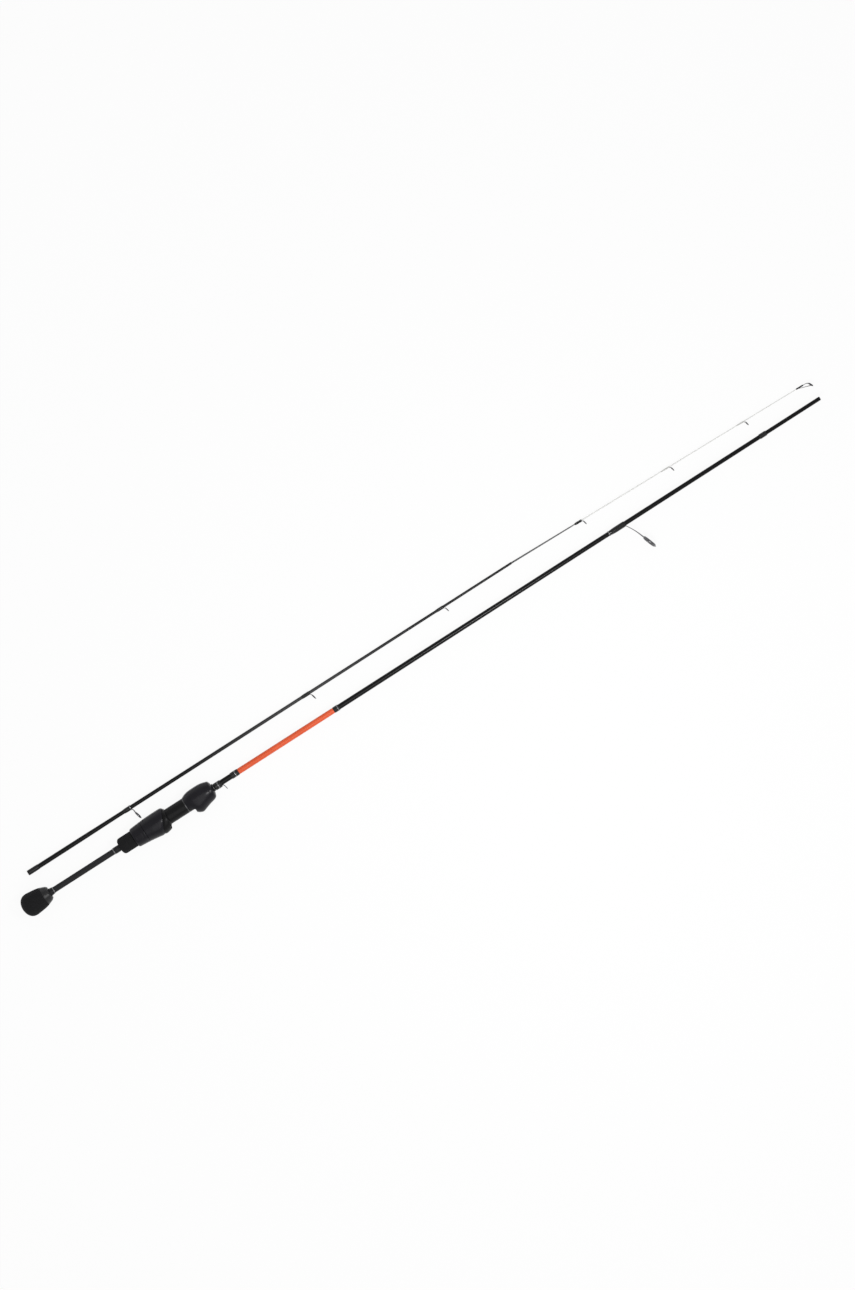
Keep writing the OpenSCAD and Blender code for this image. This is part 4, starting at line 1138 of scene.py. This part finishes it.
def guide_ring_piece(key, body, fit):
    """Ceramic insert with a full round inner lip and a seat rim against the frame."""
    middle = Vector((0, -fit.height, 0))
    flat = fit.flat - np.array(middle)
    side = np.array(fit.side)
    axial = np.abs(flat @ side).max()
    hole = np.linalg.norm(flat - np.outer(flat @ side, side), axis=1).min()
    wall = fit.insert_r - hole
    corners = 20
    section = []
    for k in range(corners):
        a = 2 * math.pi * k / corners
        bulge = 1 if math.cos(a) < 0 else 0.96
        section.append((hole + wall / 2 * (1 + bulge * fuller(math.cos(a))), axial * fuller(math.sin(a))))
    points = []
    for i in range(RING_STEPS):
        out = (fit.ring_point(2 * math.pi * i / RING_STEPS) - middle).normalized()
        points += [middle + out * r + fit.side * w for r, w in section]
    faces = grid_faces(RING_STEPS, corners, True)
    piece = joined(key + "_ring_ceramic", [(points, faces)], fit.matrix, 60)
    place(piece, key + "_ring", CERAMIC, body)


def guide_wrap_piece(key, body, material):
    """Thread wrap over a guide's foot: domed, and raised a little where the foot lies under it."""
    node = key + "_wrap"
    x0, x1 = x_span(node)
    axis, radius = rod_of(body)
    rear_run = 0.42 * (x1 - x0)
    front_run = 0.14 * (x1 - x0)

    def dome(x):
        rear = min(1, (x - x0) / rear_run)
        front = min(1, (x1 - x) / front_run)
        return math.sin(math.pi / 2 * rear) * math.sqrt(max(0, 1 - (1 - front) ** 2)) ** 0.5

    def bulged(x, r, a):
        toward = max(0.0, -math.cos(a)) ** 6
        base = radius(x)
        return base + (r - base) * (0.7 + 0.3 * toward if r > base + GLUE_FIT else 1)

    lift = half_height(node) - radius(x0) - WRAP_FIT
    loop = wrap_loop(node, radius, lift, 0.05 * MM, 0.010 * MM, dome)
    piece = turned_ring(node + "_threads", loop, axis, bulged, steps=64, sharp_deg=60)
    place(piece, node, material, body)


def guide(key, body, wrap, rise, metal):
    """One ring guide: its wrap, its frame and its insert."""
    fit = GuideFit(key, body)
    guide_wrap_piece(key, body, wrap)
    guide_frame_piece(key, body, fit, rise, metal)
    guide_ring_piece(key, body, fit)


def tip_top():
    """Tip top: tube over the tip's end, two legs, two braces and the ring of one frame, and the insert."""
    fit = GuideFit("tip_top", "tip_section")
    tube_x0 = x_span("tip_top_frame")[0] - fit.base.x
    tube_x1 = tube_x0 + 8.8 * MM
    tube_r = 0.84 * MM
    end_x = tube_x1 - 0.7 * MM
    inner = solid_radius(TIP_END_X - 8 * MM) + GLUE_FIT
    brace_turn = math.radians(115)
    steps = 32
    loop = [(tube_x0, inner)]
    loop += arc(tube_x0 + 0.12 * MM, tube_r - 0.12 * MM, 0.12 * MM, 180, 90, 3)
    loop += arc(tube_x1 - 0.3 * MM, tube_r - 0.3 * MM, 0.3 * MM, 90, 0, 4)
    loop += [(tube_x1, AXIS_R), (end_x, AXIS_R), (end_x, inner)]
    parts = [(turned_points(loop, steps=steps), grid_faces(len(loop), steps, True))]
    parts.append(sweep(ring_path(fit), fit.wire / 2, fit.side, closed=True))
    root = Vector((tube_x1 - 0.4 * MM, 0, 0.4 * MM))
    for leg in leg_paths(fit, root, (1, 0, 0), 24):
        parts.append(sweep(leg, 0.9 * fit.wire / 2, fit.side))
    for s in (-1, 1):
        start = Vector((tube_x0 + 3.2 * MM, -tube_r + 0.1 * MM, s * 0.2 * MM))
        end = fit.ring_point(s * brace_turn, 0.15 * MM)
        middle = start.lerp(end, 0.5) + Vector((0, -0.15 * MM, 0))
        brace = bezier(start, start.lerp(middle, 0.6), end.lerp(middle, 0.6), end, 16)
        parts.append(sweep(brace, 0.25 * MM, Vector((0, 0, 1))))
    piece = joined("tip_top_frame_wire", parts, fit.matrix)
    place(piece, "tip_top_frame", DARK_METAL, "tip_section")
    guide_ring_piece("tip_top", "tip_section", fit)


# Putting the object together

def dress_cad(node, material):
    """A CAD node whose shape is right keeps it and takes a material."""
    paint(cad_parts[node], material)


def build_butt_section():
    knob_piece()
    rear_grip_piece()
    barrel_piece()
    front_hood_piece()
    sleeve_piece()
    hook_keeper_piece()
    collar_piece("knob_collar", COLLAR_PLASTIC, 0.3 * MM, 0.6 * MM)
    collar_piece("rear_check", COLLAR_PLASTIC, 0.3 * MM)
    collar_piece("front_check", CHECK_PLASTIC, 0.6 * MM)
    for node in ("knob_trim_ring", "rear_trim_ring", "stripper_band"):
        collar_piece(node, TRIM, 0.3 * MM)
    for node in ("sleeve_wrap_band", "sleeve_end_band"):
        band_piece(node)
    for node in ("sleeve_wrap", "sleeve_end_wrap", "ferrule_stop_wrap"):
        plain_wrap_piece(node)
    band_piece("keeper_band", radius_of=over_feet)
    plain_wrap_piece("keeper_wrap", radius_of=over_feet)
    guide("stripper", "butt_section", WRAP, (0.5, -0.8, 0.1), GUNMETAL)
    dress_cad("barrel_trim_ring", RING_TRIM)
    dress_cad("butt_blank", CARBON_BUTT)
    dress_cad("ferrule_plug", HARD_PLASTIC)
    dress_cad("seat_arbors", FOAM)


def build_seat():
    sliding_hood_piece()
    hood_cap_piece()
    nut_piece()
    dress_cad("hood_carrier", HARD_PLASTIC)
    dress_cad("nut_core", HARD_PLASTIC)


def build_tip_section():
    plain_wrap_piece("socket_wrap", "tip_section")
    band_piece("guide_1_band", "tip_section")
    for i in range(1, 7):
        wrap, slot = (PALE_WRAP, "clear_wrap") if i > 4 else (WRAP, "thread_wrap")
        metal = GUNMETAL if i == 1 else DARK_METAL
        guide(f"guide_{i}", "tip_section", wrap, (0.3, -0.5, 0.8), metal)
    tip_top()
    dress_cad("tip_tube", CARBON_TIP)
    dress_cad("solid_tip", SOLID_TIP)


# Floor, light and camera

def floor_piece():
    """Pale floor under the rod: white to the camera and to reflections, with a soft shadow."""
    z = CAD_BOX[0][2] - 0.05 * MM
    size = 80.0
    glow_share = 0.92
    points = [(-size, -size, z), (size, -size, z), (size, size, z), (-size, size, z)]
    floor = add_mesh("floor", points, [(0, 1, 2, 3)])
    m = Nodes("floor_pale", (0.96, 0.96, 0.96), 0.9)
    glow = m.made("Emission", "Emission", Color=(1, 1, 1, 1), Strength=1.0)
    mix = m.add("MixShader")
    m.feed(mix, Fac=m.math("MULTIPLY", m.seen(), glow_share))
    m.link(m.shader.outputs[0], mix.inputs[1])
    m.link(glow, mix.inputs[2])
    m.feed(m.tree.nodes["Material Output"], Surface=mix.outputs[0])
    paint(floor, m.material)


def area_light(name, place_at, target, size, power):
    data = bpy.data.lights.new(name, "AREA")
    data.shape = "RECTANGLE"
    data.size, data.size_y = size
    data.energy = power
    lamp = add_object(name, data)
    lamp.location = place_at
    lamp.rotation_euler = (Vector(target) - Vector(place_at)).to_track_quat("-Z", "Y").to_euler()
    lamp.visible_camera = False


def studio():
    """Soft studio light: a pale world, a wide lamp over the grip and a small one over the middle.

    Near the horizon the world looks white, as the floor does."""
    world = bpy.data.worlds.new("studio")
    bpy.context.scene.world = world
    world.use_nodes = True
    light = 0.55
    white = 0.98
    sky = Tree(world.node_tree, "Generated")
    low = sky.span(sky.axis("Z"), 0.12, 0.4, 1.0, 0.0)
    shown = sky.math("MULTIPLY", low, sky.seen())
    strength = sky.span(shown, 0.0, 1.0, light, white)
    sky.feed(sky.tree.nodes["Background"], Color=(1, 1, 1, 1), Strength=strength)
    area_light("top", (0.05, -0.9, 2.5), (0.05, 0, 0), (1.2, 2.6), 12.5)
    area_light("key", (0.41, -0.2, 0.75), (0.41, -0.2, 0), (0.15, 0.15), 2.1)


def camera():
    """Straight down, turned so that the rod rises to the right, framed on 855 by 1290."""
    frame_h = 1.41
    middle = (0.3283, 0.0047)
    turn_deg = -32.7
    lens = 100
    sensor = 36
    data = bpy.data.cameras.new("camera")
    data.lens = lens
    data.sensor_width = sensor
    obj = add_object("camera", data)
    obj.location = (*middle, frame_h * lens / sensor)
    obj.rotation_euler = (0, 0, math.radians(turn_deg))
    bpy.context.scene.camera = obj


build_butt_section()
build_seat()
build_tip_section()
floor_piece()
studio()
camera()
bpy.context.scene.view_settings.view_transform = "Standard"
